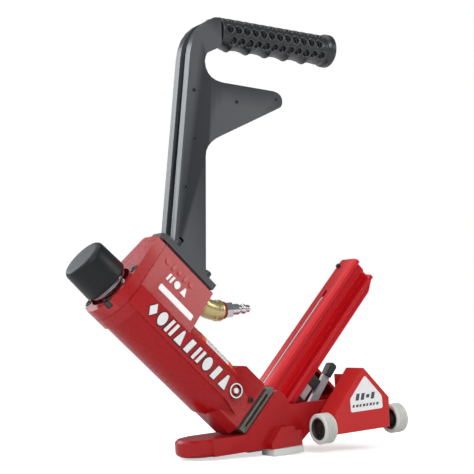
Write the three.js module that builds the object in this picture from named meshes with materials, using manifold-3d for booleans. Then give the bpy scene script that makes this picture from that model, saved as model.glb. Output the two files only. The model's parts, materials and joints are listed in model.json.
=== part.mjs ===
// Pneumatic flooring nailer: a struck cap on an inclined cylinder drives cleats at 45 degrees through a shoe.
// Millimetres, +Z up. The tool stands on the nose of its shoe and on two sole pads, so its sole is tilted.
//
// Two working frames are used.
//   tool frame:  X runs from the shoe's nose to the rear rollers, -Y is the side with the panel, Z is up
//                from the sole.
//   drive frame: the tool frame turned 45 degrees about Y. Its Z is the driver's axis, from the nail's exit
//                up to the struck cap, and its X runs up along the magazine.
import * as THREE from "three";
import { mergeVertices } from "three/addons/utils/BufferGeometryUtils.js";
import Module from "manifold-3d";

const wasm = await Module();
wasm.setup();

// ---- driving dimensions ----
const GAP = 0.3; // clearance between touching pieces
const DRIVE_ANGLE = Math.PI / 4; // driver's axis against the sole

const SHOE = {
  noseX: -79.8, noseRadius: 24.3, topChamfer: 2.6, soleChamfer: 4, halfWidth: 24.5, top: 16.4, heelX: 19, rearX: 100,
  railTop: 39.5,
};
const PAD = { thickness: 7, frontX: -17.5, rearX: 18.8, innerY: 12, outerY: 33 };
const NOSE = { bottom: 41.7, top: 49.4, low: -17.8, high: 37, halfWidth: 22 };

const CYLINDER = { radius: 29.5, bore: 24.3, bottom: 88, boreBottom: 96.7 };
const NECK = { bottom: 50.6, top: 82, edge: -17.4, low: -25.5, lowHalf: 12, high: 34, halfWidth: 18.5 };
const HEAD = { flangeBottom: 210, seam: 221.8, face: 234, halfWidth: 29, pocket: 23, pocketFloor: 225.2 };
const TANK = { rear: 153.5, top: 64.6, topHalf: 14.2, rootHalf: 28.5, rootX: 7.6, wall: 6 };
const PANEL = { low: -9.5, high: 12, proud: 29.6, bottom: 60, bend: 84, top: 221 };

const CAP = { bottom: 240, top: 273, radius: 22.8, taper: 0.9, rim: 4 };
const WASHER = { bottom: 236, top: 239.7, radius: 19.5 };
const PLUNGER_RADIUS = 8;
const SLEEVE = { inner: 21.2, outer: 24, top: 221.5 };
const BUMPER_TOP = 119;
const PISTON = { bottom: 190, top: 204, radius: 20.9, grooveRadius: 18.5, grooveLow: 195, grooveHigh: 199 };
const BLADE = { tip: 72, halfThickness: 2, halfWidth: 7, clearance: 0.7 };

const HANDLE = { halfWidth: 14, webInner: 9.5, grooveHalf: 5, flangeLow: 66, flangeTop: 72.3, flangeHalf: 14.5 };
const GRIP = { start: [-31, 416], end: [111, 408.2], coreRadius: 11, radius: 15.6, endRadius: 17.6 };

const MAGAZINE = { low: 38.8, high: 213, top: 45, bottom: 8, slotHalf: 1.9, slotEnd: 168, slotFloor: 14 };

const FOOT = { outerY: 51, innerY: 26, sheet: 2.6, wallX: 110, wallTop: 60 };
const ROLLER = { radius: 15, width: 13.8, hubRadius: 10.7, axleRadius: 4, y: 41, z: 13.9, frontX: 31.2, rearX: 124 };
const LEVER = { x: 50, z: 27, length: 61, angle: 0.895 };

// ---- materials ----
const finish = (color, roughness, metalness = 0) =>
  new THREE.MeshStandardMaterial({ color, roughness, metalness });
const castRed = () => finish(0xa81f24, 0.35);
const anodisedRed = () => finish(0xe0353a, 0.35, 0.6);
const sheetRed = () => finish(0xcf2528, 0.4);
const blackCasting = () => finish(0x2b2e31, 0.45);
const blackRubber = () => finish(0x17181a, 0.75);
const blackSteel = () => finish(0x1d1e20, 0.4, 0.7);
const noseSteel = () => finish(0x5c5e54, 0.45, 0.8);
const brightSteel = () => finish(0xb9bcc0, 0.25, 1);
const brass = () => finish(0xc4a860, 0.35, 1);
const paleNylon = () => finish(0xcfd1c9, 0.6);

// ---- solids ----
const toSolid = (geometry) => {
  const bare = geometry.index ? geometry.toNonIndexed() : geometry.clone();
  bare.deleteAttribute("normal");
  bare.deleteAttribute("uv");
  const merged = mergeVertices(bare, 1e-4);
  return new wasm.Manifold(new wasm.Mesh({
    numProp: 3,
    vertProperties: new Float32Array(merged.attributes.position.array),
    triVerts: new Uint32Array(merged.index.array),
  }));
};

const toGeometry = (solid) => {
  const mesh = solid.getMesh();
  const geometry = new THREE.BufferGeometry();
  geometry.setAttribute("position", new THREE.BufferAttribute(mesh.vertProperties, 3));
  geometry.setIndex(new THREE.BufferAttribute(mesh.triVerts, 1));
  return geometry;
};

const moved = (geometry, x, y, z) => geometry.translate(x, y, z);
const union = (first, ...rest) => rest.reduce((sum, solid) => sum.add(solid), first);
const cut = (first, ...rest) => rest.reduce((left, solid) => left.subtract(solid), first);

// A box between two limits on each axis.
const block = (x0, x1, y0, y1, z0, z1) =>
  toSolid(moved(new THREE.BoxGeometry(x1 - x0, y1 - y0, z1 - z0), (x0 + x1) / 2, (y0 + y1) / 2, (z0 + z1) / 2));

// Round bars along each axis, centred on the two other coordinates.
const barZ = (radius, z0, z1, x = 0, y = 0, sides = 24) =>
  toSolid(moved(new THREE.CylinderGeometry(radius, radius, z1 - z0, sides).rotateX(Math.PI / 2), x, y, (z0 + z1) / 2));
const barX = (radius, x0, x1, y, z, sides = 24) =>
  toSolid(moved(new THREE.CylinderGeometry(radius, radius, x1 - x0, sides).rotateZ(Math.PI / 2), (x0 + x1) / 2, y, z));
const barY = (radius, y0, y1, x, z, sides = 24) =>
  toSolid(moved(new THREE.CylinderGeometry(radius, radius, y1 - y0, sides), x, (y0 + y1) / 2, z));

const asShape = (outline) =>
  outline instanceof THREE.Shape ? outline : new THREE.Shape(outline.map(([a, b]) => new THREE.Vector2(a, b)));

const extruded = (outline, depth, curveSegments = 5) =>
  new THREE.ExtrudeGeometry(asShape(outline), { depth, bevelEnabled: false, curveSegments });

const axisMap = (a, b, depth) => new THREE.Matrix4().makeBasis(
  new THREE.Vector3(...a),
  new THREE.Vector3(...b),
  new THREE.Vector3(...depth),
);

// Outlines drawn in XY, XZ or YZ and drawn out along the third axis.
const plateZ = (outline, z0, z1) => toSolid(moved(extruded(outline, z1 - z0), 0, 0, z0));
const plateY = (outline, y0, y1) =>
  toSolid(moved(extruded(outline, y1 - y0).applyMatrix4(axisMap([1, 0, 0], [0, 0, 1], [0, -1, 0])), 0, y1, 0));
const plateX = (outline, x0, x1) =>
  toSolid(moved(extruded(outline, x1 - x0).applyMatrix4(axisMap([0, 1, 0], [0, 0, 1], [1, 0, 0])), x0, 0, 0));

// A turned piece about Z from [radius, z] pairs.
const turnedZ = (profile, sides = 32) =>
  toSolid(new THREE.LatheGeometry(profile.map(([r, z]) => new THREE.Vector2(r, z)), sides).rotateX(Math.PI / 2));

const ringProfile = (inner, outer, z0, z1) => [[inner, z0], [outer, z0], [outer, z1], [inner, z1], [inner, z0]];

// Turns a solid made about Z so that its axis lies along +X, and puts it at a place.
const alongX = (solid, x, y, z) => solid.rotate([0, 90, 0]).translate([x, y, z]);

// Turns a solid from the drive frame into the tool frame.
const fromDrive = (solid) => solid.rotate([0, -45, 0]);

// A sub-part: its named mesh with its own material.
const part = (name, solid, material) => {
  const mesh = new THREE.Mesh(toGeometry(solid), material);
  mesh.name = name;
  return mesh;
};

// ---- drive frame: casting, head and working parts ----
const HEAD_SCREWS = [[-19.2, -19.2], [21, -20], [-19.2, 19.2], [21, 20]];
const FLANGE_SCREWS = [[213, -10.5], [168.5, -9], [213, 10.5], [168.5, 9]];
const INLET_PORT = { x: 50.5, radius: 6 };

// The head's outline: a faceted lower half round the cylinder, tapering up to the air tank's top.
const headOutline = () => {
  const { halfWidth } = HEAD;
  const { top, topHalf, rootX } = TANK;
  const near = [
    [-30.7, -6.1], [-26, -17.4], [-17.4, -26], [-10, -halfWidth], [rootX, -halfWidth], [top - 1.5, -topHalf - 0.4],
    [top, -topHalf + 1.5],
  ];
  return [...near, ...near.map(([x, y]) => [x, -y]).toReversed()];
};

// The air tank's outline: its sides lean in from the cylinder to the handle's seat.
const tankOutline = () => {
  const { top, topHalf, rootHalf, rootX } = TANK;
  const near = [[0, -rootHalf], [rootX, -rootHalf], [top - 1.5, -topHalf - 0.4], [top, -topHalf + 1.5]];
  return [...near, ...near.map(([x, y]) => [x, -y]).toReversed()];
};

// The neck's section across the driver's axis: flat sides and a chamfered lower face.
const neckSection = () => {
  const { edge, low, lowHalf, halfWidth } = NECK;
  const near = [[low, -lowHalf], [edge, -halfWidth], [20, -halfWidth]];
  return [...near, ...near.map(([x, y]) => [x, -y]).toReversed()];
};

// The neck seen from the side, with its upper face running into the cylinder.
const neckOutline = () => {
  const { bottom, top, edge: low, high } = NECK;
  return [
    [low, bottom], [high - 2, bottom], [high, bottom + 3], [high, top - 1], [high - 4, top + 4], [8, 100], [-8, 100],
    [low, top + 6],
  ];
};

const mainCasting = () => {
  const { radius, bore, bottom, boreBottom } = CYLINDER;
  const { rear, top, wall } = TANK;
  const panelOutline = [
    [10, PANEL.bottom], [NECK.halfWidth, PANEL.bottom], [PANEL.proud, PANEL.bend], [PANEL.proud, PANEL.top],
    [25, PANEL.top], [25, PANEL.bend], [10, PANEL.bend - 10],
  ];
  const sidePanels = [-1, 1].map((side) =>
    plateX(panelOutline.map(([y, z]) => [side * y, z]), PANEL.low, PANEL.high));
  const outside = union(
    turnedZ([[0, 58], [17.5, 58], [radius, bottom], [radius, HEAD.seam], [0, HEAD.seam]], 40),
    plateZ(neckSection(), NECK.bottom, NECK.top),
    plateY(neckOutline(), -NECK.halfWidth, NECK.halfWidth),
    plateZ(tankOutline(), rear, HEAD.seam),
    plateZ(headOutline(), HEAD.flangeBottom, HEAD.seam),
    ...sidePanels,
  );
  const pocket = block(33, top - wall, -8.5, 8.5, rear + wall, HEAD.seam + 1);
  const headHoles = HEAD_SCREWS.map(([x, y]) => barZ(2, 212.5, HEAD.seam + 1, x, y, 12));
  const flangeHoles = FLANGE_SCREWS.map(([z, y]) => barX(2.3, top - 5, top + 1, y, z, 12));
  const pinHole = barY(1.9, -NECK.halfWidth - 1, NECK.halfWidth + 1, 12, 56, 10);
  return cut(
    outside,
    barZ(bore, boreBottom, HEAD.seam + 1, 0, 0, 40),
    barZ(9, NECK.bottom - 1, boreBottom + 1),
    pocket,
    barZ(INLET_PORT.radius, rear - 1, rear + wall + 1, INLET_PORT.x, 0),
    pinHole,
    ...headHoles,
    ...flangeHoles,
  );
};

const headCover = () => {
  const { seam, face, pocket, pocketFloor } = HEAD;
  const counterbores = HEAD_SCREWS.map(([x, y]) => barZ(4.7, 228.5, face + 1, x, y, 16));
  const screwHoles = HEAD_SCREWS.map(([x, y]) => barZ(2, seam, face, x, y, 12));
  return cut(
    plateZ(headOutline(), seam + GAP, face),
    barZ(pocket, pocketFloor, face + 1, 0, 0, 36),
    barZ(PLUNGER_RADIUS + 0.4, seam - 1, face),
    ...counterbores,
    ...screwHoles,
  );
};

// A socket-head cap screw standing on z = 0, with its shank below.
const capScrew = (headRadius, headHeight, shankRadius, shankLength) => union(
  cut(barZ(headRadius, 0, headHeight, 0, 0, 16), barZ(headRadius * 0.5, headHeight * 0.45, headHeight + 1, 0, 0, 6)),
  barZ(shankRadius, -shankLength, headHeight * 0.2, 0, 0, 10),
);

const strikeCap = () => {
  const { bottom, top, radius, taper, rim } = CAP;
  const upper = radius - taper;
  return turnedZ([
    [0, bottom], [radius - 1.5, bottom], [radius, bottom + 1.5], [upper, top - rim],
    [upper - rim * 0.3, top - rim * 0.3], [upper - rim, top], [0, top],
  ], 36);
};

const piston = () => {
  const { bottom, top, radius, grooveRadius, grooveLow, grooveHigh } = PISTON;
  return turnedZ([
    [0, bottom], [radius, bottom], [radius, grooveLow], [grooveRadius, grooveLow],
    [grooveRadius, grooveHigh], [radius, grooveHigh], [radius, top], [0, top],
  ]);
};

const pistonRing = () => turnedZ(ringProfile(
  PISTON.grooveRadius + GAP,
  SLEEVE.inner - 0.2,
  PISTON.grooveLow + GAP,
  PISTON.grooveHigh - GAP,
));

const mainValve = () => turnedZ([[0, 213], [20.4, 213], [20.4, 217], [12, 221.5], [0, 221.5]]);

class Helix extends THREE.Curve {
  constructor(radius, turns, z0, z1) {
    super();
    Object.assign(this, { radius, turns, z0, z1 });
  }

  getPoint(t, target = new THREE.Vector3()) {
    const angle = t * this.turns * Math.PI * 2;
    return target.set(
      this.radius * Math.cos(angle),
      this.radius * Math.sin(angle),
      this.z0 + t * (this.z1 - this.z0),
    );
  }
}

const roundSection = (radius, sides) => Array.from({ length: sides }, (_, i) => {
  const angle = (i / sides) * Math.PI * 2;
  return [radius * Math.cos(angle), radius * Math.sin(angle)];
});

const wire = (path, radius, steps) => toSolid(new THREE.ExtrudeGeometry(
  asShape(roundSection(radius, 6)),
  { extrudePath: path, steps, bevelEnabled: false },
));

const noseGuide = () => {
  const { bottom, top, low, high, halfWidth } = NOSE;
  const outline = [[low, bottom], [high - 3, bottom], [high, bottom + 3], [high - 2.5, top], [low, top]];
  const grooves = [-1, 1].map((side) => {
    const [y0, y1] = side < 0 ? [-halfWidth - 1, -halfWidth + 3.5] : [halfWidth - 3.5, halfWidth + 1];
    return block(-12, 27, y0, y1, 44.7, 47.1);
  });
  return cut(plateY(outline, -halfWidth, halfWidth), driverSlot(bottom - 1, top + 1), ...grooves);
};

const driverSlot = (z0, z1) => {
  const x = BLADE.halfThickness + BLADE.clearance;
  const y = BLADE.halfWidth + BLADE.clearance;
  return block(-x, x, -y, y, z0, z1);
};

// Half of the magazine's section, as [side, height] from its top face down; the other half mirrors it.
const magazineSide = () => [
  [10, 45], [11.6, 44.2], [14.5, 43], [14.5, 39.5], [12.6, 38.3], [9.5, 37.5], [9.5, 28.5], [6.6, 23.5],
  [6.6, 21.2], [9.8, 20], [14.5, 19.3], [14.5, 15.4], [12.5, 14.2], [12.5, 9], [11.5, 8],
];

const magazineChannel = () => {
  const side = magazineSide();
  const section = [...side.map(([y, z]) => [-y, z]), ...side.toReversed()];
  const slot = block(7, MAGAZINE.slotEnd, -MAGAZINE.slotHalf, MAGAZINE.slotHalf, MAGAZINE.slotFloor, 46);
  const tongue = block(8, MAGAZINE.low + 1, -9.5, 9.5, 11, 38);
  const endChamfer = plateY([[194, 7], [230, 7], [230, 15], [212, 15]], -20, 20);
  const screwHole = barZ(1.6, 41, 46, 203, 8, 10);
  return cut(union(plateX(section, MAGAZINE.low, MAGAZINE.high), tongue), slot, endChamfer, screwHole);
};

const retainingWire = () => {
  const path = new THREE.CurvePath();
  const height = 44.2;
  path.add(new THREE.LineCurve3(new THREE.Vector3(42, 0, height), new THREE.Vector3(158, 0, height)));
  path.add(new THREE.QuadraticBezierCurve3(
    new THREE.Vector3(158, 0, height),
    new THREE.Vector3(164.5, 0, height),
    new THREE.Vector3(165.5, 0, height - 5),
  ));
  return wire(path, 1.2, 12);
};

const flangeGasket = () => {
  const holes = FLANGE_SCREWS.map(([z, y]) => barX(2.3, TANK.top, TANK.top + 2, y, z, 12));
  const half = TANK.topHalf - 1.2;
  return cut(block(TANK.top + GAP, HANDLE.flangeLow - GAP, -half, half, 157, HEAD.seam - GAP), ...holes);
};

const neckGasket = () => {
  const half = NECK.halfWidth - 0.3;
  return cut(
    block(NECK.edge + 1, NECK.high - 3, -half, half, NOSE.top + GAP, NECK.bottom - GAP),
    barZ(9.5, NOSE.top, NECK.bottom),
  );
};

const drive = new THREE.Group();
drive.rotation.y = -DRIVE_ANGLE;

drive.add(
  part("main_casting", mainCasting(), castRed()),
  part("head_cover", headCover(), castRed()),
  part("cylinder_sleeve", turnedZ(ringProfile(SLEEVE.inner, SLEEVE.outer, 97, SLEEVE.top), 40), brightSteel()),
  part("bumper", turnedZ(ringProfile(9.3, SLEEVE.inner - GAP, 97, BUMPER_TOP)), blackRubber()),
  part("piston", piston(), brightSteel()),
  part("piston_ring", pistonRing(), blackRubber()),
  part(
    "driver_blade",
    block(-BLADE.halfThickness, BLADE.halfThickness, -BLADE.halfWidth, BLADE.halfWidth, BLADE.tip, PISTON.bottom - GAP),
    noseSteel(),
  ),
  part("main_valve", mainValve(), brass()),
  part("strike_plunger", barZ(PLUNGER_RADIUS, 221.8, WASHER.bottom - GAP), brightSteel()),
  part("plunger_spring", wire(new Helix(13, 2.2, 226.5, 234.5), 1, 36), brightSteel()),
  part("cap_washer", barZ(WASHER.radius, WASHER.bottom, WASHER.top, 0, 0, 28), brightSteel()),
  part("strike_cap", strikeCap(), blackRubber()),
  part("neck_gasket", neckGasket(), blackRubber()),
  part("nose_guide", noseGuide(), noseSteel()),
  part("flange_gasket", flangeGasket(), blackRubber()),
);

HEAD_SCREWS.forEach(([x, y], index) => {
  const screw = part(`head_screw_${index + 1}`, capScrew(4.3, 6, 1.7, 14), blackSteel());
  screw.position.set(x, y, 228.5 + GAP);
  drive.add(screw);
});

FLANGE_SCREWS.forEach(([z, y], index) => {
  const screw = part(`flange_screw_${index + 1}`, capScrew(3.7, 5.6, 1.9, 11), blackSteel());
  screw.rotation.y = Math.PI / 2;
  screw.position.set(HANDLE.flangeTop + GAP, y, z);
  drive.add(screw);
});

[-1, 1].forEach((side) => {
  const screw = part(side < 0 ? "nose_screw_near" : "nose_screw_far", capScrew(2.8, 1.6, 1.5, 9), blackSteel());
  screw.rotation.x = side < 0 ? Math.PI / 2 : -Math.PI / 2;
  screw.position.set(12, side * (NECK.halfWidth + GAP), 56);
  drive.add(screw);
});

const magazine = new THREE.Group();
magazine.add(
  part("magazine_channel", magazineChannel(), anodisedRed()),
  part("retaining_wire", retainingWire(), brightSteel()),
  part("nail_pusher", block(44, 58, -1.5, 1.5, 15, 42.6), brightSteel()),
  part("pusher_spring_coil", barY(5, -1.5, 1.5, 63.4, 26, 20), brightSteel()),
);
const stopScrew = part("magazine_stop_screw", capScrew(2.6, 2, 1.3, 3.5), blackSteel());
stopScrew.position.set(203, 8, MAGAZINE.top + GAP);
magazine.add(stopScrew);
drive.add(magazine);

// ---- tool frame: shoe, handle, air inlet and foot ----
const shoeOutline = () => {
  const { noseX, top, heelX, rearX, railTop } = SHOE;
  const faceOffset = 58.5; // the sloped seat of the nose guide lies on z = x + faceOffset
  const peakX = -3.1;
  const shape = new THREE.Shape();
  shape.moveTo(noseX, 0);
  shape.lineTo(heelX, 0);
  shape.lineTo(heelX + 5, 3);
  shape.lineTo(33, 10);
  shape.lineTo(rearX, 10);
  shape.lineTo(rearX, railTop);
  shape.lineTo(13, railTop);
  shape.quadraticCurveTo(10.2, railTop + 0.6, 9.5, 43);
  shape.quadraticCurveTo(6.5, 51.5, peakX, peakX + faceOffset);
  shape.lineTo(top - faceOffset, top);
  shape.lineTo(noseX, top);
  return shape;
};

const bossOutline = () => [[-19, 0], [17.5, 0], [17.5, 14.9], [9.8, 15.3], [9, 19.4], [-6.5, 19.6], [-19, 5]];

const baseShoe = () => {
  const { noseX, noseRadius, topChamfer, soleChamfer, halfWidth, top, rearX } = SHOE;
  const lobe = turnedZ([
    [0, 0], [noseRadius - soleChamfer, 0], [noseRadius - 1, soleChamfer * 0.45], [noseRadius, soleChamfer],
    [noseRadius, top - topChamfer],
    [noseRadius - topChamfer, top], [0, top],
  ], 40).translate([noseX, 0, 0]);
  const bosses = [-1, 1].map((side) => {
    const [y0, y1] = side < 0 ? [-PAD.outerY, -halfWidth + 1] : [halfWidth - 1, PAD.outerY];
    return plateY(bossOutline(), y0, y1);
  });
  const railPocket = block(14, rearX - 5, -18.7, 18.7, 15, 60);
  const magazinePocket = fromDrive(block(7.2, 60, -9.9, 9.9, 10.6, 38.4));
  const magazineSeat = fromDrive(block(MAGAZINE.low - GAP, 80, -15.2, 15.2, 7.5, 46));
  const nailGate = fromDrive(block(0, 10, -1.9, 1.9, 12, 39));
  const slot = fromDrive(driverSlot(-25, 45));
  const pivotHole = barY(3.3, -halfWidth - 1, halfWidth + 1, LEVER.x, LEVER.z, 16);
  const guideHoles = [-1, 1].map((side) => barX(2.3, rearX - 6, rearX + 1, side * 9, 25, 12));
  return cut(
    union(plateY(shoeOutline(), -halfWidth, halfWidth), lobe, ...bosses),
    railPocket,
    magazinePocket,
    magazineSeat,
    nailGate,
    slot,
    pivotHole,
    ...guideHoles,
  );
};

const handleOutline = () => {
  const shape = new THREE.Shape();
  shape.moveTo(-102.5, 203.2);
  shape.lineTo(-72, 388);
  shape.quadraticCurveTo(-67.3, 417.5, -41, 427.5);
  shape.lineTo(-33, 428);
  shape.lineTo(-34, 401);
  shape.lineTo(-41, 395.6);
  shape.quadraticCurveTo(-53.5, 394.5, -55.3, 382);
  shape.quadraticCurveTo(-55.5, 364.5, -36.4, 362);
  shape.lineTo(25, 356.8);
  shape.quadraticCurveTo(36, 355, 35.6, 346.5);
  shape.quadraticCurveTo(35, 341, 31, 339.4);
  shape.lineTo(-41, 308.6);
  shape.quadraticCurveTo(-61, 301, -61.4, 287);
  shape.lineTo(-69.9, 170.6);
  return shape;
};

// The space between the two webs, open to the rear and below the gusset.
const webSpace = () => [
  [-92, 170], [-72.5, 290], [-64.5, 350], [-57, 357.5], [-36, 357.4], [24, 352.2], [48, 330], [-20, 280],
  [-50, 270], [-58, 150],
];

// The groove that follows the front edge, between the two lips.
const frontGroove = () => [
  [-115, 185], [-82, 400], [-74, 425], [-55, 445], [-44, 445], [-44, 418], [-53, 412], [-60.5, 402], [-65, 388],
  [-94.2, 205], [-97, 180],
];

const gripDirection = () => {
  const [x0, z0] = GRIP.start;
  const [x1, z1] = GRIP.end;
  return { length: Math.hypot(x1 - x0, z1 - z0), pitch: THREE.MathUtils.radToDeg(Math.atan2(x1 - x0, z1 - z0)) };
};

// Lays a solid made along +Z from its origin onto the grip's axis.
const onGripAxis = (solid) => {
  const [x0, z0] = GRIP.start;
  return solid.rotate([0, gripDirection().pitch, 0]).translate([x0, 0, z0]);
};

const handleCasting = () => {
  const { halfWidth, webInner, grooveHalf, flangeLow, flangeTop, flangeHalf } = HANDLE;
  const body = plateY(handleOutline(), -halfWidth, halfWidth);
  const hollow = plateY(webSpace(), -webInner, webInner);
  const groove = plateY(frontGroove(), -grooveHalf, grooveHalf);
  const corner = 5;
  const frontEnd = 230.3;
  const flangeOutline = [
    [-flangeHalf, 155.8], [flangeHalf, 155.8], [flangeHalf, frontEnd - corner], [flangeHalf - corner, frontEnd],
    [corner - flangeHalf, frontEnd], [-flangeHalf, frontEnd - corner],
  ];
  const flange = fromDrive(plateX(flangeOutline, flangeLow, flangeTop));
  const flangeHoles = FLANGE_SCREWS.map(([z, y]) => fromDrive(barX(2.3, flangeLow - 1, flangeTop + 2, y, z, 12)));
  const seats = FLANGE_SCREWS.map(([z, y]) => fromDrive(barX(4.5, flangeTop, flangeTop + 8, y, z, 16)));
  const core = onGripAxis(barZ(GRIP.coreRadius, -6, gripDirection().length - 3, 0, 0, 24));
  const collar = onGripAxis(barZ(12.5, -10, -1, 0, 0, 28));
  return cut(union(cut(body, hollow, groove), flange, core, collar), ...flangeHoles, ...seats);
};

const handleGrip = () => {
  const { radius, endRadius, coreRadius } = GRIP;
  const { length } = gripDirection();
  return onGripAxis(turnedZ([
    [coreRadius + GAP, 0], [radius, 0], [radius, length - 10], [endRadius, length - 6],
    [endRadius, length - 1.5], [endRadius - 2, length], [coreRadius + GAP, length], [coreRadius + GAP, 0],
  ], 28));
};

const INLET = { x: -62.5, z: 136.7, elbowEnd: -47.6, bandEnd: -43.6, hexEnd: -35.8, tip: -13.3 };

const brassElbow = () => {
  const { x, z, elbowEnd } = INLET;
  const driveX = (x + z) * Math.SQRT1_2;
  const driveZ = (z - x) * Math.SQRT1_2;
  const bend = toSolid(new THREE.IcosahedronGeometry(10.6, 1).translate(x, 0, z));
  const rearLeg = barX(10, x, elbowEnd, 0, z, 16);
  const frontLeg = fromDrive(barZ(9.8, driveZ, TANK.rear - GAP, driveX, 0, 16));
  return union(bend, rearLeg, frontLeg);
};

const airPlug = () => {
  const { z, bandEnd, hexEnd, tip } = INLET;
  const nipple = alongX(turnedZ([
    [0, 0], [5.6, 0], [5.6, 9], [4, 10.5], [4, 13], [5.2, 14.5], [5.2, 16], [3.8, 18], [3.8, tip - hexEnd], [0, tip - hexEnd],
  ], 20), hexEnd, 0, z);
  return union(barX(8.4, bandEnd + GAP, hexEnd + 0.1, 0, z, 6), nipple);
};

// The folded end box of the foot: a house-shaped front with its edge turned inwards.
const footOutline = (inset) => [
  [48 + inset, 7.3 + inset], [115.7 - inset, 7.3 + inset], [117.2 - inset, 37.3 - inset * 0.6],
  [86.6 - inset * 0.3, 69.6 - inset * 1.4], [84.4, 69.6 - inset * 1.4], [45.8 + inset, 26.8 + inset * 0.3],
];

const AXLE_CLEARANCE = 0.35;

const footBracket = () => {
  const { outerY, innerY, sheet, wallX, wallTop } = FOOT;
  const boxes = [-1, 1].map((side) => {
    const [y0, y1] = side < 0 ? [-outerY, -innerY] : [innerY, outerY];
    const [i0, i1] = side < 0 ? [-outerY + sheet, -innerY + 1] : [innerY - 1, outerY - sheet];
    return cut(plateY(footOutline(0), y0, y1), plateY(footOutline(sheet), i0, i1));
  });
  const wallLow = block(wallX, wallX + sheet, -outerY + 1, outerY - 1, 12, 43.5);
  const wallHigh = block(wallX, wallX + sheet, -innerY - 1, innerY + 1, 12, wallTop);
  const boltSlot = block(wallX - 1, wallX + 6, -3.4, 3.4, 15, 37);
  const axleHoles = [-1, 1].map((side) =>
    barX(ROLLER.axleRadius + AXLE_CLEARANCE, 40, 125, side * ROLLER.y, ROLLER.z, 16));
  return cut(union(boxes[0], wallLow, wallHigh, boxes[1]), boltSlot, ...axleHoles);
};

// A roller about +Z from 0 to its width: a recessed hub and a grooved tyre.
const rollerHub = () => turnedZ([
  [ROLLER.axleRadius + AXLE_CLEARANCE, 3], [8.6, 3], [9, 0.4], [ROLLER.hubRadius, 0.4],
  [ROLLER.hubRadius, 13.4], [9, 13.4], [8.6, 11], [ROLLER.axleRadius + AXLE_CLEARANCE, 11],
  [ROLLER.axleRadius + AXLE_CLEARANCE, 3],
], 20);

const rollerTyre = () => {
  const { radius, width, hubRadius } = ROLLER;
  const inner = hubRadius + GAP;
  const groove = 0.5;
  const outside = [3, 5].flatMap((step) => {
    const z = step * width / 8;
    return [[radius, z - 0.5], [radius - groove, z], [radius, z + 0.5]];
  });
  return turnedZ([
    [inner, 0], [radius - 1.2, 0], [radius, 1.2], ...outside, [radius, width - 1.2], [radius - 1.2, width],
    [inner, width], [inner, 0],
  ], 24);
};

const lockLever = () => {
  const { x, z, length, angle } = LEVER;
  const blade = union(block(0, length - 17.3, -2, 2, -4.5, 4.5), block(length - 19, length - 14, -2, 2, -2.6, 2.6));
  const bar = union(blade, barY(7, -8, 8, 0, 0, 20));
  const turned = bar.rotate([0, -THREE.MathUtils.radToDeg(angle), 0]).translate([x, 0, z]);
  return cut(turned, barY(3.3, -9, 9, x, z, 16));
};

const leverHandle = () => {
  const { x, z, length, angle } = LEVER;
  const outline = [
    [length - 17, -3.6], [length - 4, -4.4], [length - 2, -2.2], [length - 2, 2.6], [length - 4, 4.4],
    [length - 17, 3.6],
  ];
  const socket = block(length - 22, length - 13.7, -2.3, 2.3, -2.9, 2.9);
  return cut(plateY(outline, -4.4, 4.4), socket).rotate([0, -THREE.MathUtils.radToDeg(angle), 0]).translate([x, 0, z]);
};

const tool = new THREE.Group();
const { elbowEnd, bandEnd, z: inletZ } = INLET;
const { wallX, sheet } = FOOT;

tool.add(
  drive,
  part("base_shoe", baseShoe(), castRed()),
  part("handle_casting", handleCasting(), blackCasting()),
  part("handle_grip", handleGrip(), blackRubber()),
  part("brass_elbow", brassElbow(), brass()),
  part("thread_seal", barX(8.8, elbowEnd + GAP, bandEnd, 0, inletZ, 20), castRed()),
  part("air_plug", airPlug(), brightSteel()),
  part("foot_bracket", footBracket(), sheetRed()),
  part("lock_lever", lockLever(), brightSteel()),
  part("lever_handle", leverHandle(), blackRubber()),
  part("lever_pin", barY(3, -SHOE.halfWidth + 0.5, SHOE.halfWidth - 0.5, LEVER.x, LEVER.z, 16), blackSteel()),
  part("foot_guide", cut(block(SHOE.rearX + GAP, wallX - GAP, -16, 16, 12, 38), barX(2.9, 95, 120, 0, 25, 12)), noseSteel()),
  part(
    "foot_clamp_bolt",
    union(barX(2.5, SHOE.rearX + 1, wallX + sheet + 1, 0, 25, 12), barX(6, wallX + sheet + GAP, wallX + sheet + 5, 0, 25, 6)),
    blackSteel(),
  ),
);

[-1, 1].forEach((side) => {
  const label = side < 0 ? "near" : "far";
  const [y0, y1] = side < 0 ? [-PAD.outerY, -PAD.innerY] : [PAD.innerY, PAD.outerY];
  tool.add(part(`sole_pad_${label}`, block(PAD.frontX, PAD.rearX, y0, y1, -PAD.thickness, -GAP), paleNylon()));
});

const magazineBlock = new THREE.Group();
magazineBlock.rotation.y = -DRIVE_ANGLE;
magazineBlock.add(
  part("magazine_rest", block(58, 74, -7, 7, -2, MAGAZINE.bottom - GAP), brightSteel()),
  part("magazine_rest_cap", block(74.3, 87, -7, 7, -6.5, MAGAZINE.bottom - GAP), blackRubber()),
);
tool.add(magazineBlock);

[-1, 1].forEach((side) => {
  const label = side < 0 ? "near" : "far";
  const y = side * ROLLER.y;
  const { z, width, axleRadius, frontX, rearX } = ROLLER;
  const axle = part(`roller_axle_${label}`, barX(axleRadius, frontX + 0.5, rearX + width - 0.5, y, z, 16), brightSteel());
  const spacer = part(
    `axle_spacer_${label}`,
    cut(barX(6.2, 117.6, rearX + 2.5, y, z, 16), barX(axleRadius + AXLE_CLEARANCE, 110, 130, y, z, 16)),
    blackSteel(),
  );
  tool.add(axle, spacer);
  [["front", frontX], ["rear", rearX]].forEach(([end, x]) => {
    tool.add(
      part(`roller_hub_${end}_${label}`, alongX(rollerHub(), x, y, z), blackRubber()),
      part(`roller_tyre_${end}_${label}`, alongX(rollerTyre(), x, y, z), paleNylon()),
    );
  });
});

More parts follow.
